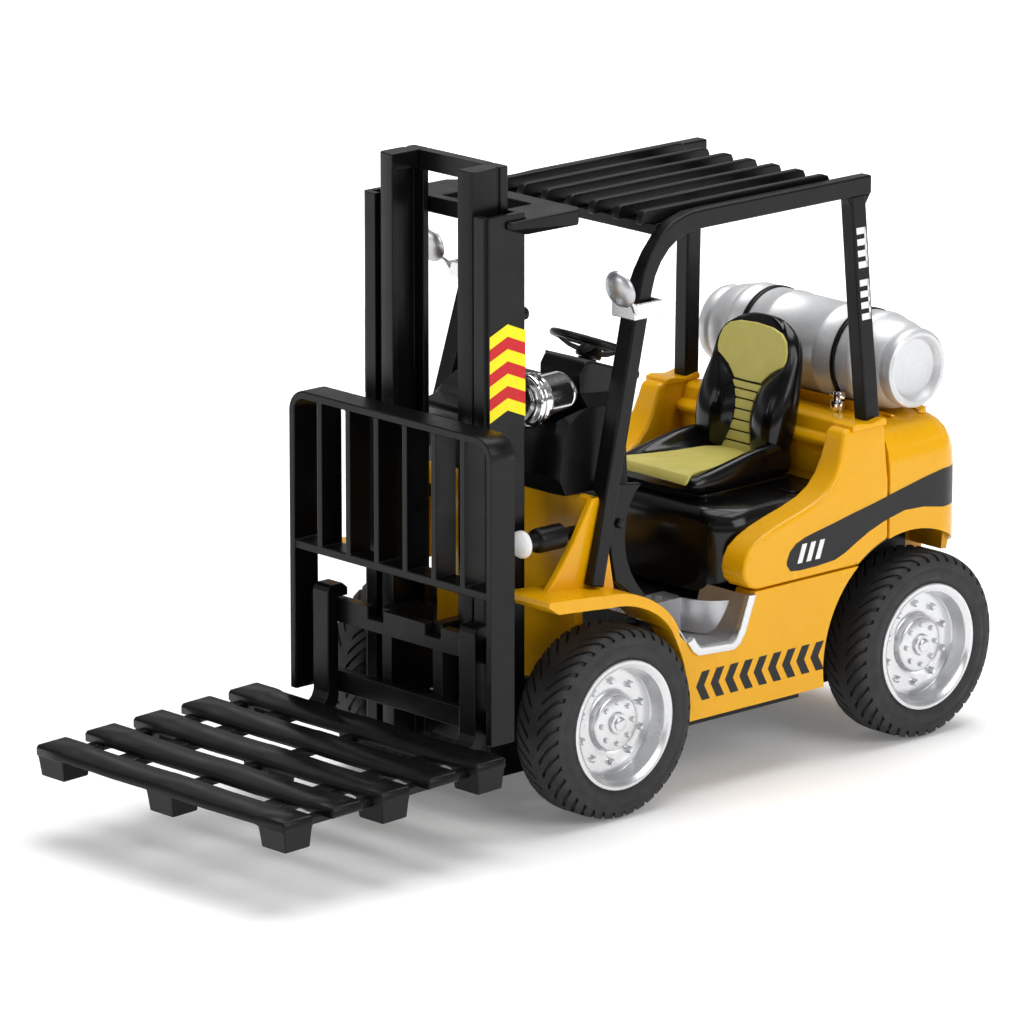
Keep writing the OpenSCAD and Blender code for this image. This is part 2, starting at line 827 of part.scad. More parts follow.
// Load backrest: bent strip frame with rounded top corners, middle rail and six bars.
module backrest() {
    strip = 1.6;
    corner = 4.5;
    rest_rear_y = rest_front_y + rest_deep;
    mid_z = 49.7;
    translate([0, rest_rear_y, 0]) {
        rotate([90, 0, 0]) {
            linear_extrude(rest_deep) {
                difference() {
                    union() {
                        translate([-rest_half, 20]) square([2 * rest_half, rest_top_z - 20 - corner]);
                        translate([-rest_half + corner, 30])
                            square([2 * (rest_half - corner), rest_top_z - 30]);
                        for (x = [-1, 1]) {
                            translate([x * (rest_half - corner), rest_top_z - corner]) circle(r = corner);
                        }
                    }
                    translate([-rest_half + strip, 10])
                        square([2 * (rest_half - strip), rest_top_z - 10 - corner]);
                    translate([-rest_half + corner, 30])
                        square([2 * (rest_half - corner), rest_top_z - 30 - strip]);
                    for (x = [-1, 1]) {
                        translate([x * (rest_half - corner), rest_top_z - corner])
                            circle(r = corner - strip);
                    }
                }
            }
        }
    }
    box([-rest_half + strip, rest_front_y + 0.4, mid_z - 0.9], [rest_half - strip, rest_rear_y - 0.6, mid_z + 0.9]);
    for (i = [-2.5:1:2.5]) {
        x = i * 8.32;
        box([x - 0.7, rest_front_y + 0.4, mid_z + 0.9], [x + 0.7, rest_rear_y - 0.6, rest_top_z - strip]);
    }
}

// Pallet moulding: five slats, three lengthwise runners and nine feet.
module pallet() {
    slats = 5;
    slat_t = 1.5;
    foot_w = 6.6;
    foot_h = 6.4;
    pitch = (pallet_l - slat_w) / (slats - 1);
    half = pallet_w / 2;
    translate([0, pallet_rear_y, deck_top_z]) {
        rotate([blade_droop, 0, 0]) {
            for (i = [0:slats - 1]) {
                box([-half, -slat_w - i * pitch, -slat_t], [half, -i * pitch, 0]);
            }
            for (x = [-half + foot_w / 2, 0, half - foot_w / 2]) {
                box([x - 1.3, -pallet_l + 1, -2.6], [x + 1.3, -1, -slat_t]);
                for (i = [0, 2, 4]) {
                    translate([x, -slat_w / 2 - i * pitch, -foot_h]) {
                        difference() {
                            box([-foot_w / 2, -slat_w / 2, 0], [foot_w / 2, slat_w / 2, foot_h - slat_t]);
                            for (s = [-1, 1]) {
                                translate([s * (foot_w / 2 + 0.01), 0, 0])
                                    rotate([0, s * 8, 0]) box([-1, -5, -3], [1, 5, foot_h - slat_t - 3.9]);
                            }
                        }
                    }
                }
            }
        }
    }
}

on_truck() color("dimgray") chassis_plate();
on_truck() color("silver") base_screws();
on_truck() color("orange") lower_body();
on_truck() color("orange") rear_cowl();
on_truck() color("orange") counterweight();
on_truck() color("black") engine_hood();
on_truck() color("dimgray") floor_pan();
on_truck() color("silver") step_tray(1);  // step_tray_left
on_truck() color("silver") step_tray(-1);  // step_tray_right
on_truck() color("dimgray") dash_cowl();
on_truck() color("dimgray") steering_column();
on_truck() color("black") control_lever();
on_truck() color("black") seat_shell();
on_truck() color("darkkhaki") seat_insert();
on_truck() color("black") guard_side(1);  // guard_side_left
on_truck() color("black") guard_side(-1);  // guard_side_right
on_truck() color("black") guard_front_beam();
on_truck() color("black") guard_rear_beam();
on_truck() color("black") roof_bar_set();
on_truck() color("black") post_bracket(1);  // post_bracket_left
on_truck() color("black") post_bracket(-1);  // post_bracket_right
on_truck() color("silver") mirror_head(1);  // mirror_left
on_truck() color("silver") mirror_head(-1);  // mirror_right
on_truck() color("silver") mirror_band(1);  // mirror_band_left
on_truck() color("silver") mirror_band(-1);  // mirror_band_right
on_truck() color("silver") work_lamp();
on_truck() color("white") headlamp(1);  // headlamp_left
on_truck() color("white") headlamp(-1);  // headlamp_right
on_truck() color("silver") gas_tank();
on_truck() color("black") tank_straps();
on_truck() color("orange") tank_cradle();
on_truck() color("silver") tank_valve();
on_truck() color("black") steering_wheel();
on_truck() color("silver") axle(front_y);  // front_axle
on_truck() color("silver") rim(1, front_y);  // front_rim_left
on_truck() color("silver") rim(-1, front_y);  // front_rim_right
on_truck() color("dimgray") tyre(1, front_y);  // front_tyre_left
on_truck() color("dimgray") tyre(-1, front_y);  // front_tyre_right
on_truck() color("silver") axle(rear_y);  // rear_axle
on_truck() color("silver") rim(1, rear_y);  // rear_rim_left
on_truck() color("silver") rim(-1, rear_y);  // rear_rim_right
on_truck() color("dimgray") tyre(1, rear_y);  // rear_tyre_left
on_truck() color("dimgray") tyre(-1, rear_y);  // rear_tyre_right
on_truck() color("black") outer_channel(1);  // outer_channel_left
on_truck() color("black") outer_channel(-1);  // outer_channel_right
on_truck() color("black") mast_top_plate();
on_truck() color("black") mast_lower_tie();
on_truck() color("silver") mast_pin();
on_truck() color("black") inner_channel(1);  // inner_channel_left
on_truck() color("black") inner_channel(-1);  // inner_channel_right
on_truck() color("black") inner_crosshead();
on_truck() color("black") inner_lower_tie();
on_truck() color("black") carriage_bars();
on_truck() color("black") carriage_slides();
on_truck() color("black") fork(1);  // fork_left
on_truck() color("black") fork(-1);  // fork_right
on_truck() color("black") backrest();
on_truck() color("black") pallet();
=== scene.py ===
import bpy
import bmesh
import json
import math
from math import sin, cos, pi, radians, sqrt
from mathutils import Vector, Matrix


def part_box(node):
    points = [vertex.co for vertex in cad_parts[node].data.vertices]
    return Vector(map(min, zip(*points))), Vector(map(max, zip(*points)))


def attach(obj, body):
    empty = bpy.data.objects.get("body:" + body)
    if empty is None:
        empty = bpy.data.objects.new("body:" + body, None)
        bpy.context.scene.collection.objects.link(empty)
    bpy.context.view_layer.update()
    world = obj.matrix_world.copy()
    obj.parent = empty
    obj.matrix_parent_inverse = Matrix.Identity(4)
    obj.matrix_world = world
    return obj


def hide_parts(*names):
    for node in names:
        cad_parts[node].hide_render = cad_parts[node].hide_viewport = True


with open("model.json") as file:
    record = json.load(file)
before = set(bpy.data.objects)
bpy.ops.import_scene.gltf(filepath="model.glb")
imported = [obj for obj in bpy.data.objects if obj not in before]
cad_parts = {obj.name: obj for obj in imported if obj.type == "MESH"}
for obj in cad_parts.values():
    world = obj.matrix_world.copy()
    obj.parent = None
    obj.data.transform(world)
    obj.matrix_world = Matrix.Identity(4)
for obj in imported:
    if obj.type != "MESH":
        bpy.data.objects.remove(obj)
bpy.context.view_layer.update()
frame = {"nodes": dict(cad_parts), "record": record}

MM = 0.001
AXLE_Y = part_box("front_axle")[0].y + 1.5 * MM


def at(x, y, z):
    """A point in metres from millimetres counted from the middle of the front axle, on the ground."""
    return Vector((x * MM, y * MM + AXLE_Y, z * MM))


# ---------------------------------------------------------------- materials

def colour(hex_code):
    """Linear RGBA from an sRGB hex colour."""
    channels = [int(hex_code[i:i + 2], 16) / 255 for i in (1, 3, 5)]
    linear = [c / 12.92 if c <= 0.04045 else ((c + 0.055) / 1.055) ** 2.4 for c in channels]
    return (*linear, 1)


def add_node(tree, kind, inputs=(), **settings):
    """Adds one node; an input is a value, or a (node, output name) pair to link from."""
    made = tree.nodes.new(kind)
    for key, value in settings.items():
        setattr(made, key, value)
    for key, value in dict(inputs).items():
        if isinstance(value, tuple) and len(value) == 2 and hasattr(value[0], "outputs"):
            tree.links.new(value[0].outputs[value[1]], made.inputs[key])
        else:
            made.inputs[key].default_value = value
    return made


def new_material(name, **shader_values):
    """A material with its Principled shader set, and the node that gives Object coordinates."""
    material = bpy.data.materials.new(name)
    material.use_nodes = True
    tree = material.node_tree
    shader = tree.nodes["Principled BSDF"]
    for key, value in shader_values.items():
        shader.inputs[key.replace("_", " ")].default_value = value
    place = add_node(tree, "ShaderNodeTexCoord")
    return material, tree, shader, place


def grain_bump(tree, shader, place, grain_mm, depth_mm, detail=3.0):
    """Fine surface relief of a given grain size and depth."""
    noise = add_node(tree, "ShaderNodeTexNoise", {"Vector": (place, "Object"), "Scale": 1 / (grain_mm * MM),
        "Detail": detail, "Roughness": 0.55})
    bump = add_node(tree, "ShaderNodeBump", {"Height": (noise, "Fac"), "Strength": 1.0,
        "Distance": depth_mm * MM})
    tree.links.new(bump.outputs["Normal"], shader.inputs["Normal"])


def uneven_gloss(tree, shader, place, patch_mm, low, high):
    """Lets the roughness wander between low and high in soft patches."""
    noise = add_node(tree, "ShaderNodeTexNoise", {"Vector": (place, "Object"), "Scale": 1 / (patch_mm * MM),
        "Detail": 4.0})
    spread = add_node(tree, "ShaderNodeMapRange", {"Value": (noise, "Fac"), "From Min": 0.3,
        "From Max": 0.7, "To Min": low, "To Max": high})
    tree.links.new(spread.outputs["Result"], shader.inputs["Roughness"])


def two_tone(tree, shader, place, patch_mm, first, second, detail=None):
    """Mixes two shades in cloudy patches of a given size, or in flakes where no detail is given."""
    inputs = {"Vector": (place, "Object"), "Scale": 1 / (patch_mm * MM)}
    if detail:
        pattern = (add_node(tree, "ShaderNodeTexNoise", {**inputs, "Detail": detail}), "Fac")
    else:
        pattern = (add_node(tree, "ShaderNodeTexVoronoi", inputs), "Color")
    tint = add_node(tree, "ShaderNodeMix", {"Factor": pattern, "A": colour(first), "B": colour(second)},
        data_type="RGBA")
    tree.links.new(tint.outputs["Result"], shader.inputs["Base Color"])


def die_cast_enamel():
    """Stoved yellow-orange enamel on a zinc casting: deep colour, wet gloss, faint orange peel."""
    material, *nodes = new_material("die_cast_enamel", Roughness=0.25, IOR=1.5, Specular_IOR_Level=0.25,
        Coat_Weight=0.12, Coat_Roughness=0.06)
    two_tone(*nodes, 14, "#E4A404", "#E9AB08", 3.0)
    uneven_gloss(*nodes, 9, 0.2, 0.3)
    grain_bump(*nodes, 0.9, 0.012)
    return material


def satin_black_plastic():
    """Moulded black ABS straight from a lightly blasted tool: dark grey sheen on lit faces."""
    material, *nodes = new_material("satin_black_plastic", Base_Color=colour("#0B0B0C"), Roughness=0.33,
        IOR=1.5, Specular_IOR_Level=0.22)
    uneven_gloss(*nodes, 6, 0.27, 0.38)
    grain_bump(*nodes, 0.35, 0.008)
    return material


def gloss_black_plastic():
    """Polished black polystyrene: near-black with sharp reflections and slight moulding waviness."""
    material, *nodes = new_material("gloss_black_plastic", Base_Color=colour("#080809"), Roughness=0.16,
        IOR=1.5, Specular_IOR_Level=0.35)
    uneven_gloss(*nodes, 8, 0.12, 0.22)
    grain_bump(*nodes, 5, 0.03, 1.0)
    return material


def plated_chrome():
    """Vacuum-plated plastic: mirror bright, with a soft waviness and hazy spots."""
    material, *nodes = new_material("plated_chrome", Base_Color=colour("#EDEDEE"), Metallic=1.0,
        Roughness=0.1)
    uneven_gloss(*nodes, 4, 0.06, 0.16)
    grain_bump(*nodes, 3, 0.012, 1.0)
    return material


def silver_lacquer():
    """Silver-sprayed plastic: fine metallic flake under a satin clear coat."""
    material, *nodes = new_material("silver_lacquer", Metallic=0.5, Roughness=0.4, Coat_Weight=0.25,
        Coat_Roughness=0.2)
    two_tone(*nodes, 0.25, "#CDCED0", "#D9DADC")
    uneven_gloss(*nodes, 5, 0.38, 0.48)
    grain_bump(*nodes, 0.3, 0.004)
    return material


def tyre_rubber():
    """Soft black rubber with a dusty bloom: no highlights, slightly grey in soft patches."""
    material, *nodes = new_material("tyre_rubber", Roughness=0.62, IOR=1.52)
    two_tone(*nodes, 3, "#171718", "#232324", 5.0)
    uneven_gloss(*nodes, 2.5, 0.55, 0.72)
    grain_bump(*nodes, 0.3, 0.015)
    return material


def olive_vinyl():
    """Olive-khaki sprayed upholstery: satin, with a fine leather-like pebble."""
    material, *nodes = new_material("olive_vinyl", Roughness=0.45, IOR=1.5)
    two_tone(*nodes, 4, "#C5B852", "#D8CF76", 4.0)
    uneven_gloss(*nodes, 3, 0.38, 0.52)
    grain_bump(*nodes, 0.4, 0.02)
    return material


def bright_steel():
    """Plain drawn steel wire and screws: grey, finely scratched along its length."""
    material, *nodes = new_material("bright_steel", Base_Color=colour("#BDBEC1"), Metallic=0.9,
        Roughness=0.4)
    uneven_gloss(*nodes, 12, 0.3, 0.38)
    grain_bump(*nodes, 6, 0.01, 1.0)
    return material


def printed_film(name, hex_code, shade):
    """Screen-printed vinyl film: flat even ink, satin, with a trace of mottling."""
    material, *nodes = new_material(name, IOR=1.5, Specular_IOR_Level=0.3)
    two_tone(*nodes, 1.5, hex_code, shade, 3.0)
    uneven_gloss(*nodes, 3, 0.3, 0.42)
    return material


def wheel_lacquer():
    """White-silver lacquer on the wheels: very bright, softly metallic, a little hazy."""
    material, *nodes = new_material("wheel_lacquer", Metallic=0.85, Roughness=0.26)
    two_tone(*nodes, 0.25, "#D2D3D5", "#DBDCDE")
    uneven_gloss(*nodes, 16, 0.22, 0.29)
    return material


def frosted_lens():
    """Milky clear plastic of the headlamp fronts: white, smooth, a little light passing through."""
    material, *nodes = new_material("frosted_lens", Base_Color=colour("#EDEEEE"), Roughness=0.2, IOR=1.49,
        Subsurface_Weight=0.3, Subsurface_Scale=1.5 * MM)
    uneven_gloss(*nodes, 2, 0.15, 0.28)
    return material


ENAMEL = die_cast_enamel()
LENS = frosted_lens()
SATIN_BLACK = satin_black_plastic()
GLOSS_BLACK = gloss_black_plastic()
CHROME = plated_chrome()
SILVER = silver_lacquer()
RUBBER = tyre_rubber()
VINYL = olive_vinyl()
STEEL = bright_steel()
WHEEL_SILVER = wheel_lacquer()
STICKER_BLACK = printed_film("printed_black_film", "#0F0F10", "#161617")
STICKER_WHITE = printed_film("printed_white_film", "#F2F2F0", "#E6E6E4")
STICKER_YELLOW = printed_film("printed_yellow_film", "#FFEE00", "#F6E400")
STICKER_RED = printed_film("printed_red_film", "#D4141F", "#C21019")

FINISHES = {"black_plastic": SATIN_BLACK, "gloss_black": GLOSS_BLACK, "yellow_paint": ENAMEL,
    "upholstery": VINYL, "bright_plating": CHROME, "silver_paint": SILVER, "strap_rubber": SATIN_BLACK,
    "steel": STEEL, "tyre_rubber": RUBBER}


# ---------------------------------------------------------------- workshop

def alone(piece=None):
    """Deselects everything, then selects and activates the piece."""
    bpy.ops.object.select_all(action="DESELECT")
    if piece:
        piece.select_set(True)
        bpy.context.view_layer.objects.active = piece


def edit(piece):
    alone(piece)
    bpy.ops.object.mode_set(mode="EDIT")


def leave():
    bpy.ops.object.mode_set(mode="OBJECT")


def rename(piece, name):
    piece.name = name
    piece.data.name = name


def pick_faces(piece, test):
    """Selects, in edit mode, the faces whose middle passes the test, in mm from the front axle."""
    bpy.ops.mesh.select_mode(type="FACE")
    bpy.ops.mesh.select_all(action="DESELECT")
    mesh = bmesh.from_edit_mesh(piece.data)
    origin = at(0, 0, 0)
    for face in mesh.faces:
        middle = sum((v.co for v in face.verts), Vector()) / len(face.verts)
        if test((middle - origin) / MM):
            face.select_set(True)
    mesh.select_flush_mode()
    bmesh.update_edit_mesh(piece.data)


def reshape(piece, rule):
    """Moves points in edit mode: the rule gives a new place in mm, or nothing to leave it."""
    mesh = bmesh.from_edit_mesh(piece.data)
    origin = at(0, 0, 0)
    for vert in mesh.verts:
        place = rule((vert.co - origin) / MM)
        if place:
            vert.co = origin + Vector(place) * MM
    bmesh.update_edit_mesh(piece.data)


def draw(name, points, closed=True):
    """Extrudes one point from place to place; closed joins the ends and fills the outline."""
    alone()
    bpy.ops.mesh.primitive_plane_add(size=MM, location=points[0])
    piece = bpy.context.object
    bpy.ops.object.transform_apply(location=True, rotation=True, scale=True)
    bpy.ops.object.mode_set(mode="EDIT")
    bpy.ops.mesh.select_mode(type="VERT")
    bpy.ops.mesh.merge(type="CENTER")
    for here, there in zip(points, points[1:]):
        bpy.ops.mesh.extrude_vertices_move(TRANSFORM_OT_translate={"value": there - here})
    bpy.ops.mesh.select_all(action="SELECT")
    if closed:
        bpy.ops.mesh.select_mode(type="VERT")
        mesh = bmesh.from_edit_mesh(piece.data)
        ends = [v for v in mesh.verts if len(v.link_edges) == 1]
        bpy.ops.mesh.select_all(action="DESELECT")
        for vert in ends:
            vert.select_set(True)
        bpy.ops.mesh.edge_face_add()
        bpy.ops.mesh.select_all(action="SELECT")
        bpy.ops.mesh.edge_face_add()
    rename(piece, name)
    return piece


def outward():
    bpy.ops.mesh.select_all(action="SELECT")
    bpy.ops.mesh.remove_doubles(threshold=0.002 * MM)
    bpy.ops.mesh.normals_make_consistent(inside=False)


def loft(name, sections, closed=True):
    """Extrudes the first section through the others, moving each new point into its place."""
    piece = draw(name, sections[0], closed)
    for before, after in zip(sections, sections[1:]):
        bpy.ops.mesh.extrude_region_move()
        mesh = bmesh.from_edit_mesh(piece.data)
        for vert in [v for v in mesh.verts if v.select]:
            nearest = min(range(len(before)), key=lambda i: (before[i] - vert.co).length_squared)
            vert.co = after[nearest]
        bmesh.update_edit_mesh(piece.data)
    outward()
    leave()
    return piece


def slab(name, points, plane, low, high):
    """A flat outline in mm in the plane "yz", "xy" or "xz", extruded square to it from low to high."""
    lift = {"yz": lambda p, d: at(d, p[0], p[1]), "xy": lambda p, d: at(p[0], p[1], d), "xz": lambda p,
        d: at(p[0], d, p[1])}[plane]
    return loft(name, [[lift(p, low) for p in points], [lift(p, high) for p in points]])


def turned(name, profile, centre, axis=(1, 0, 0), steps=64, ring=False):
    """Spins a profile of (radius, distance along the axis) in mm; a ring has a closed profile."""
    axis = Vector(axis).normalized()
    side = axis.orthogonal().normalized()
    points = [centre + (axis * along + side * radius) * MM for radius, along in profile]
    if ring:
        points.append(points[0])
    piece = draw(name, points, closed=False)
    bpy.ops.mesh.spin(steps=steps, angle=2 * pi, center=centre, axis=axis)
    outward()
    leave()
    return piece


def finish_modifier(piece, kind, **settings):
    alone(piece)
    made = piece.modifiers.new("step", kind)
    for key, value in settings.items():
        setattr(made, key, value)
    bpy.ops.object.modifier_apply(modifier="step")


def smooth(piece, angle=35):
    alone(piece)
    bpy.ops.object.shade_smooth_by_angle(angle=radians(angle))


def soften(piece, width, segments=3, angle=35):
    """Rounds the edges that turn more than the angle."""
    alone(piece)
    bpy.ops.object.shade_smooth()
    finish_modifier(piece, "BEVEL", width=width * MM, segments=segments, limit_method="ANGLE",
        angle_limit=radians(angle), harden_normals=True, miter_outer="MITER_ARC", use_clamp_overlap=True)


def subdivide(piece):
    finish_modifier(piece, "SUBSURF", levels=2, render_levels=2)
    alone(piece)
    bpy.ops.object.shade_smooth()


def duplicate(piece, name):
    """A copy of the piece, with its own mesh."""
    alone(piece)
    bpy.ops.object.duplicate()
    rename(bpy.context.object, name)
    return bpy.context.object


def other_side(piece, name):
    """A copy of the piece, mirrored across the middle of the truck."""
    copy = duplicate(piece, name)
    bpy.ops.transform.mirror(constraint_axis=(True, False, False), center_override=(0, 0, 0))
    bpy.ops.object.transform_apply(location=True, rotation=True, scale=True)
    return copy


def both_sides(piece):
    finish_modifier(piece, "MIRROR", use_mirror_merge=False)
    return piece


def moved_copy(piece, name, offset):
    copy = duplicate(piece, name)
    bpy.ops.transform.translate(value=offset)
    bpy.ops.object.transform_apply(location=True, rotation=True, scale=True)
    return copy


def turned_copy(piece, name, angle, axis, centre):
    copy = duplicate(piece, name)
    turn = Matrix.Rotation(angle, 4, Vector(axis))
    copy.data.transform(Matrix.Translation(centre) @ turn @ Matrix.Translation(-centre))
    return copy


def join(name, *pieces):
    alone(pieces[0])
    for piece in pieces:
        piece.select_set(True)
    bpy.ops.object.join()
    rename(bpy.context.object, name)
    return bpy.context.object


def face_outwards(piece):
    """Merges the doubles of a copied or joined piece and turns its faces outwards."""
    edit(piece)
    outward()
    leave()


def slice_at(place, normal):
    """Adds a line of edges, in edit mode, where a plane meets the piece."""
    bpy.ops.mesh.select_all(action="SELECT")
    bpy.ops.mesh.bisect(plane_co=place, plane_no=normal)


def cylinder(vertices, radius, length, turn, middle):
    """A plain cylinder to cut with."""
    alone()
    bpy.ops.mesh.primitive_cylinder_add(vertices=vertices, radius=radius * MM, depth=length * MM,
        rotation=turn, location=middle)
    return bpy.context.object


def cut(pieces, *cutters):
    """Takes the cutters' shapes out of the pieces, then removes the cutters."""
    for piece in pieces:
        for cutter in cutters:
            finish_modifier(piece, "BOOLEAN", object=cutter, operation="DIFFERENCE", solver="EXACT")
    for cutter in cutters:
        bpy.data.objects.remove(cutter)


def fit(piece, body, material, *nodes, slot=None):
    """Paints a finished piece, lets it ride on its body and stand for its CAD nodes."""
    piece.data.materials.clear()
    piece.data.materials.append(material)
    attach(piece, body)
    if nodes:
        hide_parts(*nodes)
    return piece


def fit_pair(left, name, body, material, node=None, slot=None):
    """Fits a left piece and its mirrored twin, each in the place of its own CAD node."""
    rename(left, f"{name}_left")
    right = other_side(left, f"{name}_right")
    face_outwards(right)
    for piece, hand in ((left, "left"), (right, "right")):
        nodes = [f"{node}_{hand}"] if node else []
        fit(piece, body, material, *nodes, slot=slot)


def fit_row(name, shapes, body, material, slot=None):
    """Joins flat shapes into one piece, repeats them on the other side and fits them."""
    row = both_sides(join(name, *shapes))
    face_outwards(row)
    fit(row, body, material, slot=slot)


def arc(centre, radius, start, end, steps):
    """Points on an arc between two angles in degrees, in the plane of the outline."""
    angles = [radians(start + (end - start) * i / steps) for i in range(steps + 1)]
    return [(centre[0] + radius * cos(a), centre[1] + radius * sin(a)) for a in angles]


def dress_cad_nodes():
    """Gives every CAD node its finish and eases its sharp edges."""
    for part in frame["record"]["subparts"]:
        node = frame["nodes"][part["node"]]
        node.data.materials.clear()
        node.data.materials.append(FINISHES[part["material_slot"]])
        weld = node.modifiers.new("weld", "WELD")
        weld.merge_threshold = 0.005 * MM
        ease = node.modifiers.new("ease", "BEVEL")
        ease.width = 0.3 * MM
        ease.segments = 2
        ease.limit_method = "ANGLE"
        ease.angle_limit = radians(32)
        ease.harden_normals = True


dress_cad_nodes()

# ---------------------------------------------------------------- wheels

AXLE_Z = 19.3  # height of both axles, in mm like all lengths below
REAR_AXLE = 85.0
TYRE_OUT = 34.05  # outer face of a tyre
TREAD_MIDDLE = 28.05
TREAD_SWEEP = 3.4  # degrees that the tread turns for each mm away from its middle
SHOULDER_R = 16.4  # below this the tyre's wall stays unswept
GROOVE_R = 17.7  # inner end of the grooves
RIB_HALF = 0.9  # half of the plain rib in the middle of the tread
GROOVE_DEPTH = 0.55
GROOVE_STEP = 3  # degrees from one facet to the next; every third one is a groove
BODY_HALF = 31.0  # half the width of the body
SEAM_Z = 38.7  # seam between the sills and the rear cowl


def tyre(name):
    """Front left tyre: a spun carcass whose tread is swept into a V and cut with slanted grooves."""
    wall = [(13.0, 5.2), (13.7, 5.75), (14.6, 6.0), (15.9, 5.95), (16.2, 5.8), (16.5, 5.9), (17.6, 5.7),
        (18.3, 5.45)]
    side = wall + [(18.9, 4.9), (19.2, 3.8), (19.3, 2.5), (19.3, 1.2), (19.3, 0)]
    profile = [(r, TREAD_MIDDLE + d) for r, d in side] + [(r, TREAD_MIDDLE - d) for r, d in side[-2::-1]]
    piece = turned(name, profile, at(0, 0, AXLE_Z), steps=120, ring=True)
    edit(piece)
    sweep = radians(TREAD_SWEEP)

    def swept(place):
        x, y, z = place
        radius = sqrt(y * y + (z - AXLE_Z) ** 2)
        if radius < SHOULDER_R:
            return None
        turn = sweep * abs(x - TREAD_MIDDLE)
        return (x, y * cos(turn) + (z - AXLE_Z) * sin(turn),
            AXLE_Z + (z - AXLE_Z) * cos(turn) - y * sin(turn))

    reshape(piece, swept)

    def in_groove(middle):
        x, y, z = middle
        radius = sqrt(y * y + (z - AXLE_Z) ** 2)
        across = abs(x - TREAD_MIDDLE)
        if radius < GROOVE_R or across < RIB_HALF:
            return False
        turn = math.degrees(math.atan2(z - AXLE_Z, y)) + TREAD_SWEEP * across
        return int(math.floor(turn / GROOVE_STEP + 0.01)) % 3 == (0 if x > TREAD_MIDDLE else 1)

    pick_faces(piece, in_groove)
    bpy.ops.mesh.inset(thickness=0.08 * MM, depth=-GROOVE_DEPTH * MM, use_even_offset=False)
    leave()
    smooth(piece, 40)
    return piece


def stud(name, place, radius, height):
    """A domed stud standing on the rim's face."""
    dome = [(0, height), (radius * 0.6, height * 0.9), (radius, height * 0.5), (radius, -0.3)]
    return turned(name, dome, place, steps=10)


def rim(name):
    """Front left rim: rolled lip, deep barrel, bolt face, raised hub drum and stepped centre cap."""
    depth = [(0, 0.9), (1.1, 0.9), (1.35, 1.1), (1.4, 1.5), (2.0, 1.6), (2.2, 1.9), (2.3, 2.3), (5.2, 2.4),
        (5.6, 2.6), (5.8, 3.0), (6.0, 4.1), (6.5, 4.4), (8.2, 4.2), (10.0, 4.0), (10.6, 4.1), (10.9, 3.8),
        (11.2, 1.2), (11.4, 0.7), (11.8, 0.5), (12.2, 0.15), (12.7, 0.0), (13.05, 0.15), (13.15, 0.5),
        (13.15, 11.6), (12.4, 11.6), (12.2, 6.5), (4.2, 6.5), (4.2, 11.0), (0, 11.0)]
    hub = at(TYRE_OUT, 0, AXLE_Z)
    pieces = [turned(name, [(r, -d) for r, d in depth], hub, steps=72)]
    for count, ring_r, sunk, radius, height in ((10, 8.3, 4.2, 0.75, 1.1), (8, 4.2, 2.4, 0.55, 0.7)):
        first = stud("stud", hub + Vector((-sunk, 0, ring_r)) * MM, radius, height)
        for i in range(1, count):
            pieces.append(turned_copy(first, "stud", 2 * pi * i / count, (1, 0, 0), hub))
        pieces.append(first)
    piece = join(name, *pieces)
    smooth(piece, 40)
    return piece


def wheels():
    """One tyre and one rim, copied to the other three corners."""
    front_tyre = tyre("front_tyre_left_treaded")
    front_rim = rim("front_rim_left_studded")
    back = Vector((0, REAR_AXLE * MM, 0))
    sets = {("front", "left"): (front_tyre, front_rim), ("front", "right"): (other_side(front_tyre,
        "front_tyre_right_treaded"), other_side(front_rim, "front_rim_right_studded"))}
    for hand in ("left", "right"):
        rubber, plating = sets[("front", hand)]
        sets[("rear", hand)] = (moved_copy(rubber, f"rear_tyre_{hand}_treaded", back),
            moved_copy(plating, f"rear_rim_{hand}_studded", back))
    for (end, hand), (rubber, plating) in sets.items():
        for piece in (rubber, plating):
            face_outwards(piece)
        fit(rubber, f"{end}_wheels", RUBBER, f"{end}_tyre_{hand}", slot="tyre_rubber")
        fit(plating, f"{end}_wheels", WHEEL_SILVER, f"{end}_rim_{hand}", slot="bright_plating")


# ---------------------------------------------------------------- bodywork

ARCH = (82.5, 19.0)  # middle of the rear wheel arch
ARCH_R = 24.6
TANK = (87.2, 75.8)  # middle line of the gas tank
TANK_BED_R = 10.4
STEP_EDGE = [(38.6, SEAM_Z), (36.9, 34.9), (35.1, 30.7), (34.2, 29.3), (32.4, 28.4), (22.6, 29.0),
    (21.2, 29.6), (19.6, 31.8)]


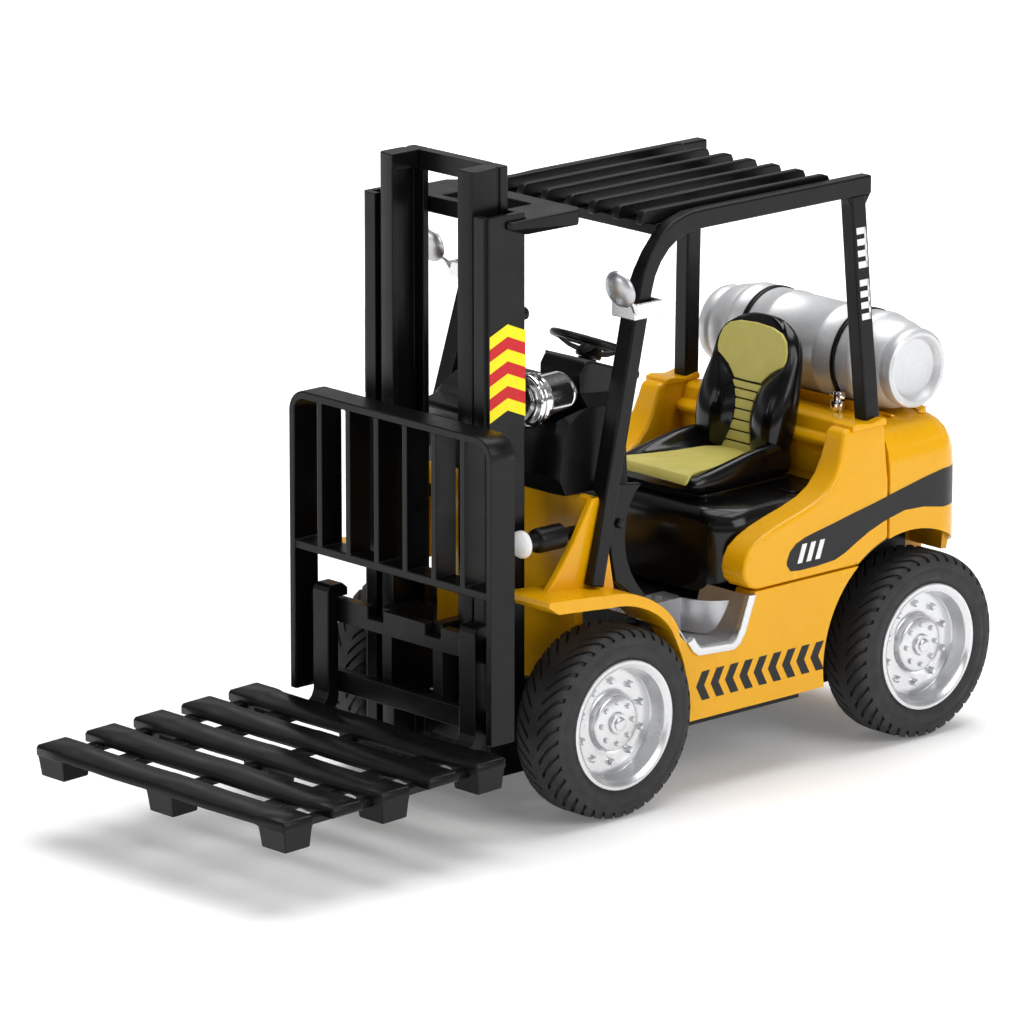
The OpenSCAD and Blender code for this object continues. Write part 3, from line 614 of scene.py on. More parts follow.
def lower_body():
    """Sills, flared front mudguards, front panel and side fins in one enamelled casting."""
    arch_front = arc(ARCH, ARCH_R, 188.4, 126.8, 14)
    mud_out = arc((-3.8, 21.2), 24.9, 30, 90, 14)
    lip = [(-8, 46.6), (-19.2, 47.5), (-19.4, 46.4), (-16.7, 44.6), (-8, 43.9)]
    mud_in = arc((-2.6, 20.8), 22.6, 90, -13.8, 20)
    outline = [(19.35, 15.4), (58.2, 15.4)] + arch_front[1:] + STEP_EDGE + mud_out + lip + mud_in[:-1]
    sill = slab("sill", outline, "yz", 25.5, BODY_HALF)
    edit(sill)
    bpy.ops.mesh.select_all(action="SELECT")
    bpy.ops.mesh.quads_convert_to_tris()
    slice_at(at(0, 18.6, 0), (0, 1, 0))
    slice_at(at(0, 14.2, 0), (0, 1, 0))

    flare_foot, flare_rise, flare_out = 30, 11, 2

    def flare(place):
        x, y, z = place
        if y > 17.5 or z < flare_foot:
            return None
        share = min(1, max(0, (z - flare_foot) / flare_rise))
        share = share * share * (3 - 2 * share)
        if x > 30:
            return (BODY_HALF + flare_out * share, y, z)
        if z > 36 and y < 14.3:
            return (20, y, z)
        return None

    reshape(sill, flare)
    leave()
    soften(sill, 0.55, 3, 38)
    fin = slab("fin", [(-0.6, 63.6), (1.9, 63.6), (5.4, 44.2), (-14.2, 45.2), (-10.4, 49.4), (-5.6, 55.6)],
        "yz", 23.6, 25.4)
    soften(fin, 0.5, 3)
    both_sides(sill)
    both_sides(fin)
    apron = slab("apron", [(-20.4, 23.6), (20.4, 23.6), (20.4, 44.8), (25.2, 44.8), (25.2, 63.6),
        (-25.2, 63.6), (-25.2, 44.8), (-20.4, 44.8)], "xz", -0.4, 1.6)
    soften(apron, 0.4, 2)
    tie = slab("tie", [(-25.8, 15.4), (25.8, 15.4), (25.8, 36), (-25.8, 36)], "xz", 54, 55.6)
    fit(join("lower_bodywork", sill, fin, apron, tie), "truck", ENAMEL, "lower_body", slot="yellow_paint")


def rear_cowl():
    """Swept rear sides with rounded shoulders, post sockets, and the ribbed bulkhead behind the seat."""
    arch_side = arc(ARCH, ARCH_R, 104.8, 126.2, 8)
    sweep = [(39.3, SEAM_Z + 0.2), (37.2, 39.6), (35.7, 41.2), (35.2, 43.2), (35.6, 45.2), (36.9, 47.2),
        (39.3, 48.9), (42.6, 50.3), (46.6, 51.5), (51.6, 52.8), (56, 54.2), (59, 55.9), (61.3, 58.3),
        (62.9, 61.2), (64, 64.2), (64.6, 66.2)]
    outline = sweep + [(65.4, 67), (76.2, 67)] + arch_side
    side = slab("cowl_side", outline, "yz", 24.2, BODY_HALF)
    edit(side)
    lean_foot, lean_rise, lean_in = 55, 12, 1.5
    slice_at(at(0, 0, lean_foot), (0, 0, 1))

    def lean(place):
        x, y, z = place
        if x > 28 and z > lean_foot - 0.1:
            return (x - lean_in * (z - lean_foot) / lean_rise, y, z)
        return None

    reshape(side, lean)
    leave()
    soften(side, 0.9, 4, 40)
    socket = slab("socket", [(66.6, 66.4), (76.2, 66.4), (76.2, 67.6), (75.6, 67.9), (72, 67.3), (68, 67.9),
        (66.6, 67.6)], "yz", 23.8, 30.1)
    soften(socket, 0.3, 2)
    both_sides(side)
    both_sides(socket)
    wall = slab("bulkhead", [(76.2, 52), (76.2, 66.4), (73.2, 66.4), (72, 65.7), (71.5, 64.3), (71.3, 63.2),
        (70.1, 62.6), (69.5, 61.9), (69.6, 61.1), (70.5, 60.4), (71.2, 59.6), (71.2, 55.2), (70.2, 52)],
        "yz", -24.3, 24.3)
    soften(wall, 0.35, 2, 28)
    panel = slab("panel", [(-19, 54.4), (19, 54.4), (20, 55.4), (20, 58.2), (19, 59.2), (-19, 59.2),
        (-20, 58.2), (-20, 55.4)], "xz", 70.7, 71.4)
    soften(panel, 0.3, 2)
    fit(join("rear_cowl_swept", side, socket, wall, panel), "truck", ENAMEL, "rear_cowl", slot="yellow_paint")


def plan(half, y_end, corner, z, crown=0.0, steps=8):
    """One level of the counterweight: flat front edge, round rear corners, bowed tail."""
    right = arc((half - corner, y_end - corner), corner, 0, 90, steps)
    tail = [((half - corner) * (1 - i / 6), y_end + crown * (1 - (1 - i / 6) ** 2)) for i in range(1, 6)]
    half_line = [(half, 76.45), (half, 84)] + right + tail
    points = half_line + [(0, y_end + crown)] + [(-x, y) for x, y in reversed(half_line)]
    return [at(x, y, z) for x, y in points]


def counterweight():
    """Cast tail weight: full round shoulders, open wheel arches, a narrow skirt between the wheels."""
    levels = [(0, 32.5), (0, 40), (0, 48), (0, 56), (0.15, 58.4), (0.6, 60.6), (1.35, 62.4), (2.5, 63.9),
        (4.0, 65.0), (5.8, 65.8), (8.2, 66.2)]
    bulk = loft("tail_bulk", [plan(BODY_HALF - d, 98.6 - d, 7 - d * 0.35, z) for d, z in levels])
    skirt = slab("tail_skirt", [(-18.4, 76.45), (18.4, 76.45), (18.4, 95), (16.6, 98.2), (13.4, 99),
        (-13.4, 99), (-16.6, 98.2), (-18.4, 95)], "xy", 15.4, 36)
    cutters = []
    for x in (-28.4, 28.4):
        cutters.append(cylinder(96, ARCH_R, 20, (0, pi / 2, 0), at(x, *ARCH)))
        cutters.append(cylinder(96, TANK_BED_R, 70, (0, pi / 2, 0), at(0, *TANK)))
    cutters.append(slab("under", [(76, 14), (92, 14), (92, 24.5), (76, 24.5)], "yz", -17.4, 17.4))
    cut((bulk, skirt), *cutters)
    soften(bulk, 0.5, 3, 42)
    soften(skirt, 0.6, 3, 42)
    section = [(94.4, 43), (97.6, 43), (97.6, 40.6), (96.4, 36.6), (94.9, 36.8), (95.2, 40)]
    strips = [slab("strip", section, "yz", low, high) for low, high in ((18.3, 27.5), (-27.5, -18.3))]
    fit(join("tail_weight_cast", bulk, skirt, *strips), "truck", ENAMEL, "counterweight", slot="yellow_paint")


def arch_liners():
    """Black linings of the rear wheel arches: a curved roof and a flat inner wall."""
    curve = arc(ARCH, ARCH_R - 0.25, 64, 150, 24)
    roof = loft("roof", [[at(18.6, *p), at(min(30.2, 27 + 0.3 * (93.2 - p[0])), *p)] for p in curve],
        closed=False)
    finish_modifier(roof, "SOLIDIFY", thickness=0.25 * MM, offset=0.0)
    wall = slab("wall", curve + [(64, 24), (94, 24)], "yz", 18.55, 18.9)
    left = join("arch_liner_left", roof, wall)
    right = other_side(left, "arch_liner_right")
    for piece in (left, right):
        face_outwards(piece)
        fit(piece, "truck", SATIN_BLACK)


# ---------------------------------------------------------------- printed stickers

STICKER = 0.05  # how far a printed film stands proud, in mm


def swoosh():
    """Black band along the rear side, wrapping the rear corner."""
    low = [(47.3, 42.5), (48.3, 41.2), (51, 40.9), (56, 40.95), (60.9, 41.3), (63.6, 42.2), (66.5, 43.6),
        (70.4, 45.4), (74.7, 46.8), (76.4, 47.2), (80.7, 48.1), (86, 47.9), (91.6, 46.9)]
    high = [(47.2, 43.2), (48.1, 45.2), (49.8, 46.6), (52.4, 47.5), (56, 48.2), (60.5, 49.0), (65, 49.9),
        (70.6, 50.9), (75.2, 51.8), (76.4, 52.1), (81, 53.0), (86, 54.0), (91.6, 54.9)]
    proud = BODY_HALF + STICKER
    sections = [[at(proud, *a), at(proud, *b)] for a, b in zip(low, high)]
    for turn in range(10, 100, 10):
        x = proud - 7 + 7 * cos(radians(turn))
        y = 91.6 + 7 * sin(radians(turn))
        sections.append([at(x, y, 46.9), at(x, y, 54.9)])
    band = loft("side_band", sections, closed=False)
    both_sides(band)
    smooth(band)
    fit(band, "truck", STICKER_BLACK)


def slanted_mark():
    """Three slanted white bars at the front end of the black band."""
    bars = []
    first, pitch = 50.2, 2.5
    for i in range(3):
        y = first + i * pitch
        bars.append(slab("bar", [(y, 42.4), (y + 1.3, 42.4), (y + 2.7, 46.2), (y + 1.4, 46.2)], "yz",
            BODY_HALF + STICKER, BODY_HALF + 2 * STICKER))
    fit_row("slanted_mark", bars, "truck", STICKER_WHITE)


def sill_chevrons():
    """Nine black arrowheads along each sill, pointing forward."""
    heads = []
    first, pitch = 22.3, 3.98
    for i in range(9):
        y = first + i * pitch
        points = [(y, 22.2), (y + 1.6, 19.2), (y + 3.8, 19.2), (y + 2.2, 22.2), (y + 3.8, 25.1),
            (y + 1.6, 25.1)]
        heads.append(slab("head", points, "yz", BODY_HALF + 0.01, BODY_HALF + STICKER))
    fit_row("sill_chevrons", heads, "truck", STICKER_BLACK)


def mast_chevrons():
    """Yellow and red arrowheads pointing up, on the outer faces of the mast."""
    front, back = -21.3, -11.9
    middle = (front + back) / 2
    foot, band, rise = 80.9, 2.45, 1.9
    for first, tint, material in ((0, "yellow", STICKER_YELLOW), (1, "red", STICKER_RED)):
        heads = []
        for i in range(first, 7, 2):
            z = foot + i * band
            points = [(front, z), (middle, z + rise), (back, z), (back, z + band),
                (middle, z + band + rise), (front, z + band)]
            heads.append(slab("head", points, "yz", 18.11, 18.1 + STICKER))
        fit_row(f"mast_chevrons_{tint}", heads, "outer_mast", material)


# ---------------------------------------------------------------- cab

def tube(name, stations):
    """A rectangular bar lofted through stations of (y, z, inner x, outer x, half depth) in mm."""
    sections = []
    for i, (y, z, x_in, x_out, deep) in enumerate(stations):
        before = stations[max(i - 1, 0)]
        after = stations[min(i + 1, len(stations) - 1)]
        run = Vector((after[0] - before[0], after[1] - before[1])).normalized()
        ny, nz = -run.y * deep, run.x * deep
        sections.append([at(x_in, y + ny, z + nz), at(x_out, y + ny, z + nz), at(x_out, y - ny, z - nz),
            at(x_in, y - ny, z - nz)])
    return loft(name, sections)


def overhead_guard():
    """Side frames with a leaning front post swept into the roof rail, and a straight rear post."""
    front = tube("front_post", [(-1.6, 46.4, 25.45, 28, 1.75), (2.6, 62.6, 25.45, 27.2, 1.75),
        (3.1, 64.4, 22.8, 27.1, 1.75), (8, 81.9, 21.9, 26.2, 1.75), (13, 100, 20.9, 25.35, 1.75),
        (13.9, 103.2, 21.3, 25.2, 1.75), (14.9, 106.2, 21.8, 25.1, 1.8), (16.6, 109.2, 22.1, 25.1, 1.85),
        (19, 111.8, 22.1, 25.1, 1.9), (22.2, 113.9, 22.1, 25.1, 1.95), (26, 114.9, 22.1, 25.1, 1.95),
        (30, 115.05, 22.1, 25.1, 1.95), (76.3, 115.05, 22.1, 25.1, 1.95)])
    rear = tube("rear_post", [(74.5, 66.7, 24.4, 28, 1.95), (73.4, 90, 22.9, 26.5, 1.95),
        (72.6, 113.4, 21.5, 25.1, 1.95)])
    gusset = slab("rail_gusset", [(74.3, 110.2), (76.4, 113.3), (69.8, 113.3), (71, 110.6)], "yz", 22.3, 24.9)
    for piece in (front, rear, gusset):
        soften(piece, 0.45, 3, 30)
    side = join("guard_frame", front, rear, gusset)
    fit_pair(side, "guard_frame", "truck", SATIN_BLACK, "guard_side", "black_plastic")


def post_slots():
    """White printed comb of eight bars on the outer face of each rear post."""
    post_foot, post_height = 66.7, 46.7

    def on_post(deep, y, z):
        return at(28.02 - 2.9 * (z - post_foot) / post_height + deep,
            76.2 - 1.9 * (z - post_foot) / post_height - y, z)

    def mark(name, y_from, y_to, low, high):
        corners = [(y_from, low), (y_to, low), (y_to, high), (y_from, high)]
        return loft(name, [[on_post(deep, y, z) for y, z in corners] for deep in (0.0, STICKER)])

    pitch, thick = 2.3, 1.3
    marks = []
    for foot in (88.0, 98.6):
        marks += [mark("bar", 0.5, 3.1, foot + i * pitch, foot + i * pitch + thick) for i in range(4)]
        marks.append(mark("stile", 0.5, 1.0, foot, foot + 8.2))
    fit_row("post_slots", marks, "truck", STICKER_WHITE)


def post_brackets():
    """Curved gusset plates with a pivot bolt, behind the feet of the front posts."""
    back = [(12.9, 64.4), (11.2, 62.9), (9.7, 60.6), (8.8, 57.9), (8.4, 55), (8.5, 52), (9.1, 49.2),
        (10.2, 46.6), (11.8, 44.1), (14.2, 41.3)]
    plate = slab("gusset", [(2.4, 63.4), (6.2, 65.4)] + back + [(13.3, 39.9), (5.7, 45.6)], "yz", 23.7, 25.2)
    soften(plate, 0.3, 2)
    bolt = turned("bolt", [(0, 0.9), (0.7, 0.85), (1.0, 0.5), (1.05, -0.2)], at(25.2, 6.6, 57.4), steps=20)
    smooth(bolt)
    fit_pair(join("post_gusset", plate, bolt), "post_gusset", "truck", SATIN_BLACK, "post_bracket",
        "black_plastic")


def hood():
    """Gloss hood with big rounded corners and a rolled top edge, and the seat plinth on it."""
    def level(inset, z, corner=8.0):
        half, front = 24.4 - inset, 35.8 + inset
        left = arc((-half + corner, front + corner), corner, 180, 270, 10)
        right = arc((half - corner, front + corner), corner, 270, 360, 10)
        return [at(x, y, z) for x, y in left + right + [(half, 69.2), (-half, 69.2)]]

    levels = [(0, 36.6), (0, 43), (0, 48.6), (0.12, 50.2), (0.5, 51.5), (1.15, 52.5), (2.1, 53.2),
        (3.4, 53.5)]
    shell = loft("hood_shell", [level(inset, z) for inset, z in levels])
    smooth(shell, 38)
    plinth = slab("plinth", [(-11.6, 41.6), (11.6, 41.6), (12.6, 42.6), (12.6, 66), (-12.6, 66),
        (-12.6, 42.6)], "xy", 53.2, 54.6)
    soften(plinth, 0.5, 3)
    latch = slab("latch", [(15.2, 58.4), (20.6, 58.4), (21.2, 59), (21.2, 63.4), (20.6, 64), (15.2, 64),
        (14.6, 63.4), (14.6, 59)], "xy", 53.3, 53.9)
    soften(latch, 0.25, 2)
    fit(join("hood_moulded", shell, plinth, latch), "truck", GLOSS_BLACK, "engine_hood", slot="gloss_black")


# ---------------------------------------------------------------- seat

LEAN = radians(12)


def on_back(across, deep, up):
    """A point on the leaning seat back: across, rearwards and up in mm from the foot of the back."""
    return at(across, 65.6 + deep * cos(LEAN) + up * sin(LEAN), 54.1 - deep * sin(LEAN) + up * cos(LEAN))


def seat_shell():
    """Gloss bucket seat: cushion tray with raised edges, two full bolsters beside a narrow waist."""
    rows = [(39.2, 11.4, 55.0, 57.2, 57.3), (39.9, 12.4, 54.5, 57.9, 57.9), (42.5, 13.2, 54.3, 58.4, 58.1),
        (48, 13.4, 54.2, 59.4, 57.9), (54, 13.4, 54.2, 60.6, 57.7), (60, 13.2, 54.2, 61.6, 57.7),
        (66, 12.6, 54.2, 61.4, 57.9), (69, 12.2, 54.2, 60.8, 58.2)]
    sections = []
    for y, half, low, edge, middle in rows:
        side = [(0, low), (half - 2.4, low), (half - 0.5, low + 0.5), (half, low + 2.0), (half, edge - 1.4),
            (half - 0.7, edge - 0.2), (half - 2.2, edge), (half - 3.6, edge - 0.5),
            (half - 4.8, middle + 0.1), (0, middle)]
        ring = side + [(-x, z) for x, z in side[-2:0:-1]]
        sections.append([at(x, y, z) for x, z in ring])
    tray = loft("cushion_tray", sections)
    subdivide(tray)

    rows = [(0, 11.2, 0.8, 5.6), (1.6, 11.7, 1.6, 4.9), (4, 12.1, 2.4, 3.8), (7, 12.4, 3.0, 2.8),
        (10, 12.7, 3.4, 2.3), (13, 12.7, 3.2, 2.4), (15.6, 12.6, 2.6, 3.0), (17.6, 12.4, 1.9, 4.2),
        (19.6, 12.2, 1.0, 6.6), (22, 12.0, 0.1, 9.2), (25, 11.5, 0, 9.0), (27.4, 10.4, 0, 8.0),
        (29.4, 8.3, -0.2, 6.0), (30.7, 5.6, -0.7, 3.8), (31.3, 2.8, -1.3, 1.6)]
    sections = []
    for up, half, bulge, waist in rows:
        thin = min(1.0, (32.2 - up) / 4)
        rear = 2.4 * thin
        mid = (half + waist) / 2
        side = [(0, rear), (half * 0.55, rear * 0.96), (half * 0.88, rear * 0.7), (half, 0.0),
            (half - 0.1, -1.4 * thin - bulge * 0.3), (half - 0.9, -2.4 * thin - bulge * 0.8),
            (mid + (half - mid) * 0.35, -2.7 * thin - bulge), (mid - (mid - waist) * 0.35,
            -2.7 * thin - bulge), (waist + 0.45, -2.6 * thin - bulge * 0.35), (waist, -2.6 * thin),
            (0, -2.6 * thin)]
        ring = side + [(-x, d) for x, d in side[-2:0:-1]]
        sections.append([on_back(x, d, up) for x, d in ring])
    back = loft("seat_back", sections)
    subdivide(back)
    fit(join("bucket_seat_moulded", tray, back), "truck", GLOSS_BLACK, "seat_shell", slot="gloss_black")


def pad(name, outline, place, low, high):
    """A thin upholstery panel drawn in its own plane and rounded at its edges."""
    piece = loft(name, [[place(a, d, b) for a, b in outline] for d in (low, high)])
    soften(piece, 0.28, 3)
    return piece


def seat_pads():
    """Olive panels: head panel, waist of six welted pads, lap pad and cushion."""
    right = [(3.9, 17.6), (4.7, 18.6), (6.0, 19.9), (7.7, 21.0), (9.4, 21.9), (9.9, 23.2), (9.8, 25.0),
        (9.1, 26.9), (7.4, 28.4), (4.6, 29.2)]
    head = pad("head_pad", [(0, 17.5)] + right + [(0, 29.5)] + [(-a, b) for a, b in reversed(right)],
        on_back, -3.05, -2.3)
    widths = [(4.9, 3.9), (7.1, 2.95), (9.3, 2.4), (11.5, 2.35), (13.7, 2.7), (15.6, 3.6), (17.3, 4.6)]
    pads = [head]
    for (low, half_low), (high, half_high) in zip(widths, widths[1:]):
        gap = 0.14
        outline = [(-half_low, low + gap), (half_low, low + gap), (half_high, high - gap),
            (-half_high, high - gap)]
        pads.append(pad("waist_pad", outline, on_back, -3.0, -2.3))
    pads.append(pad("lap_pad", [(-5.9, 0.9), (5.9, 0.9), (5.2, 2.8), (4.1, 4.75), (-4.1, 4.75),
        (-5.2, 2.8)], on_back, -3.0, -2.3))
    profile = [(64.4, 57.5), (60, 57.75), (54, 57.8), (48, 58.0), (44, 58.25), (41.4, 58.35), (40, 58.1),
        (39.35, 57.4), (39.1, 56.5)]
    halves = [6.4, 7.0, 7.8, 8.6, 9.2, 9.9, 10.6, 10.7, 10.2]
    sections = []
    for (y, z), half in zip(profile, halves):
        sections.append([at(-half, y, z), at(-half * 0.5, y, z + 0.1), at(0, y, z + 0.12),
            at(half * 0.5, y, z + 0.1), at(half, y, z)])
    cushion = loft("cushion_pad", sections, closed=False)
    edit(cushion)
    outward()
    mesh = bmesh.from_edit_mesh(cushion.data)
    if sum((f.normal.z for f in mesh.faces), 0.0) < 0:
        bpy.ops.mesh.flip_normals()
    leave()
    finish_modifier(cushion, "SOLIDIFY", thickness=0.7 * MM, offset=0.0)
    soften(cushion, 0.2, 2)
    pads.append(cushion)
    fit(join("seat_pads_welted", *pads), "truck", VINYL, "seat_insert", slot="upholstery")


# ---------------------------------------------------------------- dash, wheel, lamps

LAMP = (14.0, -8.4, 82.6)  # front of the work lamp
HEADLAMP = (22, -18.2, 56.6)


def dash():
    """Faceted instrument cowl: sloping front, raised pod, and a collar round the work lamp."""
    profile = [(-4.4, 63.9), (-5.8, 67.6), (-4.0, 75), (-1.6, 79.6), (1.6, 81.6), (4.2, 82.4), (13.8, 81.4),
        (14, 77), (13.2, 63.9)]
    widths = [(-21.2, 0.72), (-18.6, 1.0), (18.6, 1.0), (21.2, 0.72)]
    sections = []
    for x, share in widths:
        sections.append([at(x * (1 - 0.12 * (z - 63.9) / 22), 5 + (y - 5) * (0.8 + 0.2 * share),
            63.9 + (z - 63.9) * (0.55 + 0.45 * share)) for y, z in profile])
    body = loft("cowl_body", sections)
    cut([body], cylinder(64, 5.5, 13, (pi / 2, 0, 0), at(LAMP[0], LAMP[1] + 6, LAMP[2])))
    soften(body, 0.6, 3, 28)
    pod = slab("pod", [(4.2, 79), (4.4, 86.6), (5.6, 88.4), (7.2, 88.5), (14, 86.2), (14.2, 79)], "yz", 4.6,
        16.6)
    soften(pod, 0.5, 3, 28)
    shelf = slab("shelf", [(-5.6, 74), (-7.4, 76.2), (-7.0, 77.2), (0, 78.6), (0, 74)], "yz", -17.5, 7.5)
    soften(shelf, 0.5, 3, 28)
    fit(join("dash_cowl_faceted", body, pod, shelf), "truck", SATIN_BLACK, "dash_cowl", slot="black_plastic")


def work_lamp():
    """Plated lamp: flared bezel, stepped rings, smooth barrel with a domed end, reflector bowl."""
    shell = [(0, 2.6), (1.4, 2.4), (2.6, 1.9), (3.6, 1.2), (4.3, 0.55), (4.7, 0.15), (5.1, 0.0), (5.4, 0.2),
        (5.5, 0.6), (5.35, 1.1), (4.95, 1.5), (4.85, 1.9), (5.15, 2.2), (5.15, 2.8), (4.75, 3.2),
        (4.6, 3.7), (4.6, 8.6), (4.45, 9.5), (3.9, 10.6), (3.0, 11.4), (1.6, 11.9), (0, 12.0)]
    lamp = turned("work_lamp_plated", shell, at(*LAMP), (0, 1, 0), 48)
    smooth(lamp, 40)
    fit(lamp, "truck", CHROME, "work_lamp", slot="bright_plating")


def headlamps():
    """Small clear-fronted lamps in black cups on stalks."""
    stalk = [(0, 2.2), (1.9, 2.2), (1.75, 3.2), (1.75, 4.9), (2.3, 5.3), (2.5, 6.0), (2.5, 11.8),
        (1.3, 12.4), (1.3, 17.7), (0, 17.7)]
    lens = [(0, 0.0), (0.9, 0.06), (1.7, 0.3), (2.4, 0.8), (2.75, 1.4), (2.75, 2.0), (2.2, 2.3), (0, 2.3)]
    for hand, side in (("left", 1), ("right", -1)):
        place = at(side * HEADLAMP[0], *HEADLAMP[1:])
        cup = turned(f"headlamp_cup_{hand}", stalk, place, (0, 1, 0), 32)
        smooth(cup, 40)
        fit(cup, "truck", SATIN_BLACK, f"headlamp_{hand}", slot="black_plastic")
        glass = turned(f"headlamp_lens_{hand}", lens, place, (0, 1, 0), 32)
        smooth(glass, 40)
        fit(glass, "truck", LENS)


def steering_wheel():
    """Dished wheel: round rim, small cap, and three tapering spokes down to a sleeve hub."""
    tilt = radians(22)
    axis = Vector((0, sin(tilt), cos(tilt)))
    centre = at(0, 23, 86.8)
    side = Vector((1, 0, 0))
    fore = axis.cross(side)
    reach, thick = 8, 0.8
    grip = [(reach + thick * cos(a), thick * sin(a)) for a in [2 * pi * i / 12 for i in range(12)]]
    ring = turned("rim", grip, centre, axis, 56, ring=True)
    smooth(ring)
    sleeve = turned("sleeve", [(1.25, -3.1), (2.5, -3.1), (2.7, -2.6), (2.4, -1.6), (1.7, -0.4),
        (1.25, -0.4)], centre, axis, 32, ring=True)
    smooth(sleeve)
    cap = turned("cap", [(0, 0.1), (1.0, 0.0), (1.6, -0.35), (1.6, -0.6), (0, -0.6)], centre, axis, 32)
    smooth(cap)
    parts = [ring, sleeve, cap]
    for turn in (90, 210, 330):
        out = side * cos(radians(turn)) + fore * sin(radians(turn))
        wide = axis.cross(out)
        sections = []
        for reach, sink, half, thick in ((1.9, -1.9, 1.5, 0.55), (4.4, -1.5, 1.15, 0.45),
                (6.4, -0.7, 0.9, 0.4), (7.7, -0.1, 0.8, 0.4)):
            middle = centre + (out * reach + axis * sink) * MM
            sections.append([middle + (wide * w + axis * h) * MM for w, h in ((-half, -thick),
                (half, -thick), (half, thick), (-half, thick))])
        spoke = loft("spoke", sections)
        soften(spoke, 0.2, 2)
        parts.append(spoke)
    fit(join("steering_wheel_dished", *parts), "steering", SATIN_BLACK, "steering_wheel",
        slot="black_plastic")


def mirrors():
    """Small bulbous plated mirrors facing the driver, with straps round the front posts."""
    nod = radians(14.5)
    facing = Vector((0, -cos(nod), -sin(nod)))
    bowl = [(0, 1.5), (1.2, 1.43), (2.3, 1.2), (3.1, 0.8), (3.6, 0.3), (3.85, -0.2), (3.8, -0.6),
        (3.5, -0.7), (3.35, -0.45), (0, -0.45)]
    head = turned("head", bowl, at(27.5, 4.3, 105.1), facing, 40)
    smooth(head, 45)
    strap = slab("strap", [(20.3, 9.0), (26.9, 9.0), (26.9, 16.6), (20.3, 16.6)], "xy", 98.0, 101.2)
    alone()
    bpy.ops.mesh.primitive_cube_add(size=1, location=at(23.45, 13.0, 99.6),
        scale=(5.5 * MM, 5.8 * MM, 5 * MM))
    cut([strap], bpy.context.object)
    soften(strap, 0.3, 3)
    arm = loft("arm", [[at(26.3 + a, 9.3 + b, 99.0) for a, b in ((0, 0), (0.7, 0), (0.7, 0.8), (0, 0.8))],
        [at(26.6 + a, 8.0 + b, 101.2) for a, b in ((0, 0), (0.9, 0), (0.9, 1.0), (0, 1.0))],
        [at(26.8 + a, 6.2 + b, 102.6) for a, b in ((0, 0), (1.0, 0), (1.0, 0.9), (0, 0.9))]])
    soften(arm, 0.2, 2)
    band = join("band", strap, arm)
    fit_pair(head, "mirror_bowl", "truck", STEEL, "mirror", "bright_plating")
    fit_pair(band, "mirror_strap", "truck", WHEEL_SILVER, "mirror_band", "bright_plating")


def roof_bars():
    """Seven slim roof bars with rounded tops and turned-down ends."""
    bars = []
    spread, half = 41.2, 0.85
    for i in range(7):
        x = (i - 3) * spread / 6
        side = [(16.1, 115.1), (16.1, 116.6), (16.5, 117.5), (17.4, 117.9), (66.4, 117.9), (67.6, 117.5),
            (68.1, 116.5), (68.1, 115.1)]
        bar = slab("bar", side, "yz", x - half, x + half)
        soften(bar, 0.35, 3, 50)
        bars.append(bar)
    fit(join("roof_bars_rounded", *bars), "truck", SATIN_BLACK, "roof_bar_set", slot="black_plastic")


# ---------------------------------------------------------------- mast

MAST_REAR = -11.8  # rear face of the outer channels


def outer_rails():
    """Outer mast channels, rebated at the front corner, with the guide pin boss."""
    plan = [(14.25, -22), (17.1, -22), (17.3, -21.8), (17.3, -21.35), (18.1, -21.35), (18.1, -12.1),
        (17.8, MAST_REAR), (14.25, MAST_REAR), (14.25, -13.3), (16.6, -13.3), (16.6, -20.5), (14.25, -20.5)]
    rail = slab("rail", plan, "xy", 9, 121.5)
    soften(rail, 0.28, 3)
    boss = turned("boss", [(0, 1.55), (0.9, 1.5), (1.25, 1.2), (1.3, 0.8), (1.3, -0.3), (0, -0.3)],
        at(16.6, MAST_REAR, 101), (0, 1, 0), 24)
    smooth(boss)
    fit_pair(join("outer_rail", rail, boss), "outer_rail", "outer_mast", SATIN_BLACK, "outer_channel",
        "black_plastic")


def inner_rails():
    """Inner mast channels: rounded front corner, a groove down the side, a solid cap and a long tongue."""
    face = [(9.4, -21.8), (12.5, -21.8), (13.2, -21.5), (13.6, -20.8), (13.6, -15.3), (13.05, -15.1),
        (13.05, -14.4), (13.6, -14.2), (13.6, -12.4), (13.3, -12.1), (9.4, -12.1)]
    rail = slab("rail", face + [(9.4, -13.6), (12.1, -13.6), (12.1, -20.3), (9.4, -20.3)], "xy", 10, 126.8)
    soften(rail, 0.25, 3)
    cap = slab("cap", face, "xy", 126.5, 130)
    soften(cap, 0.5, 3)
    tongue = slab("tongue", [(13.4, -20.15), (16.2, -20.15), (16.2, -13.65), (13.4, -13.65)], "xy", 12, 68)
    soften(tongue, 0.3, 2)
    fit_pair(join("inner_rail", rail, cap, tongue), "inner_rail", "inner_mast", SATIN_BLACK,
        "inner_channel", "black_plastic")


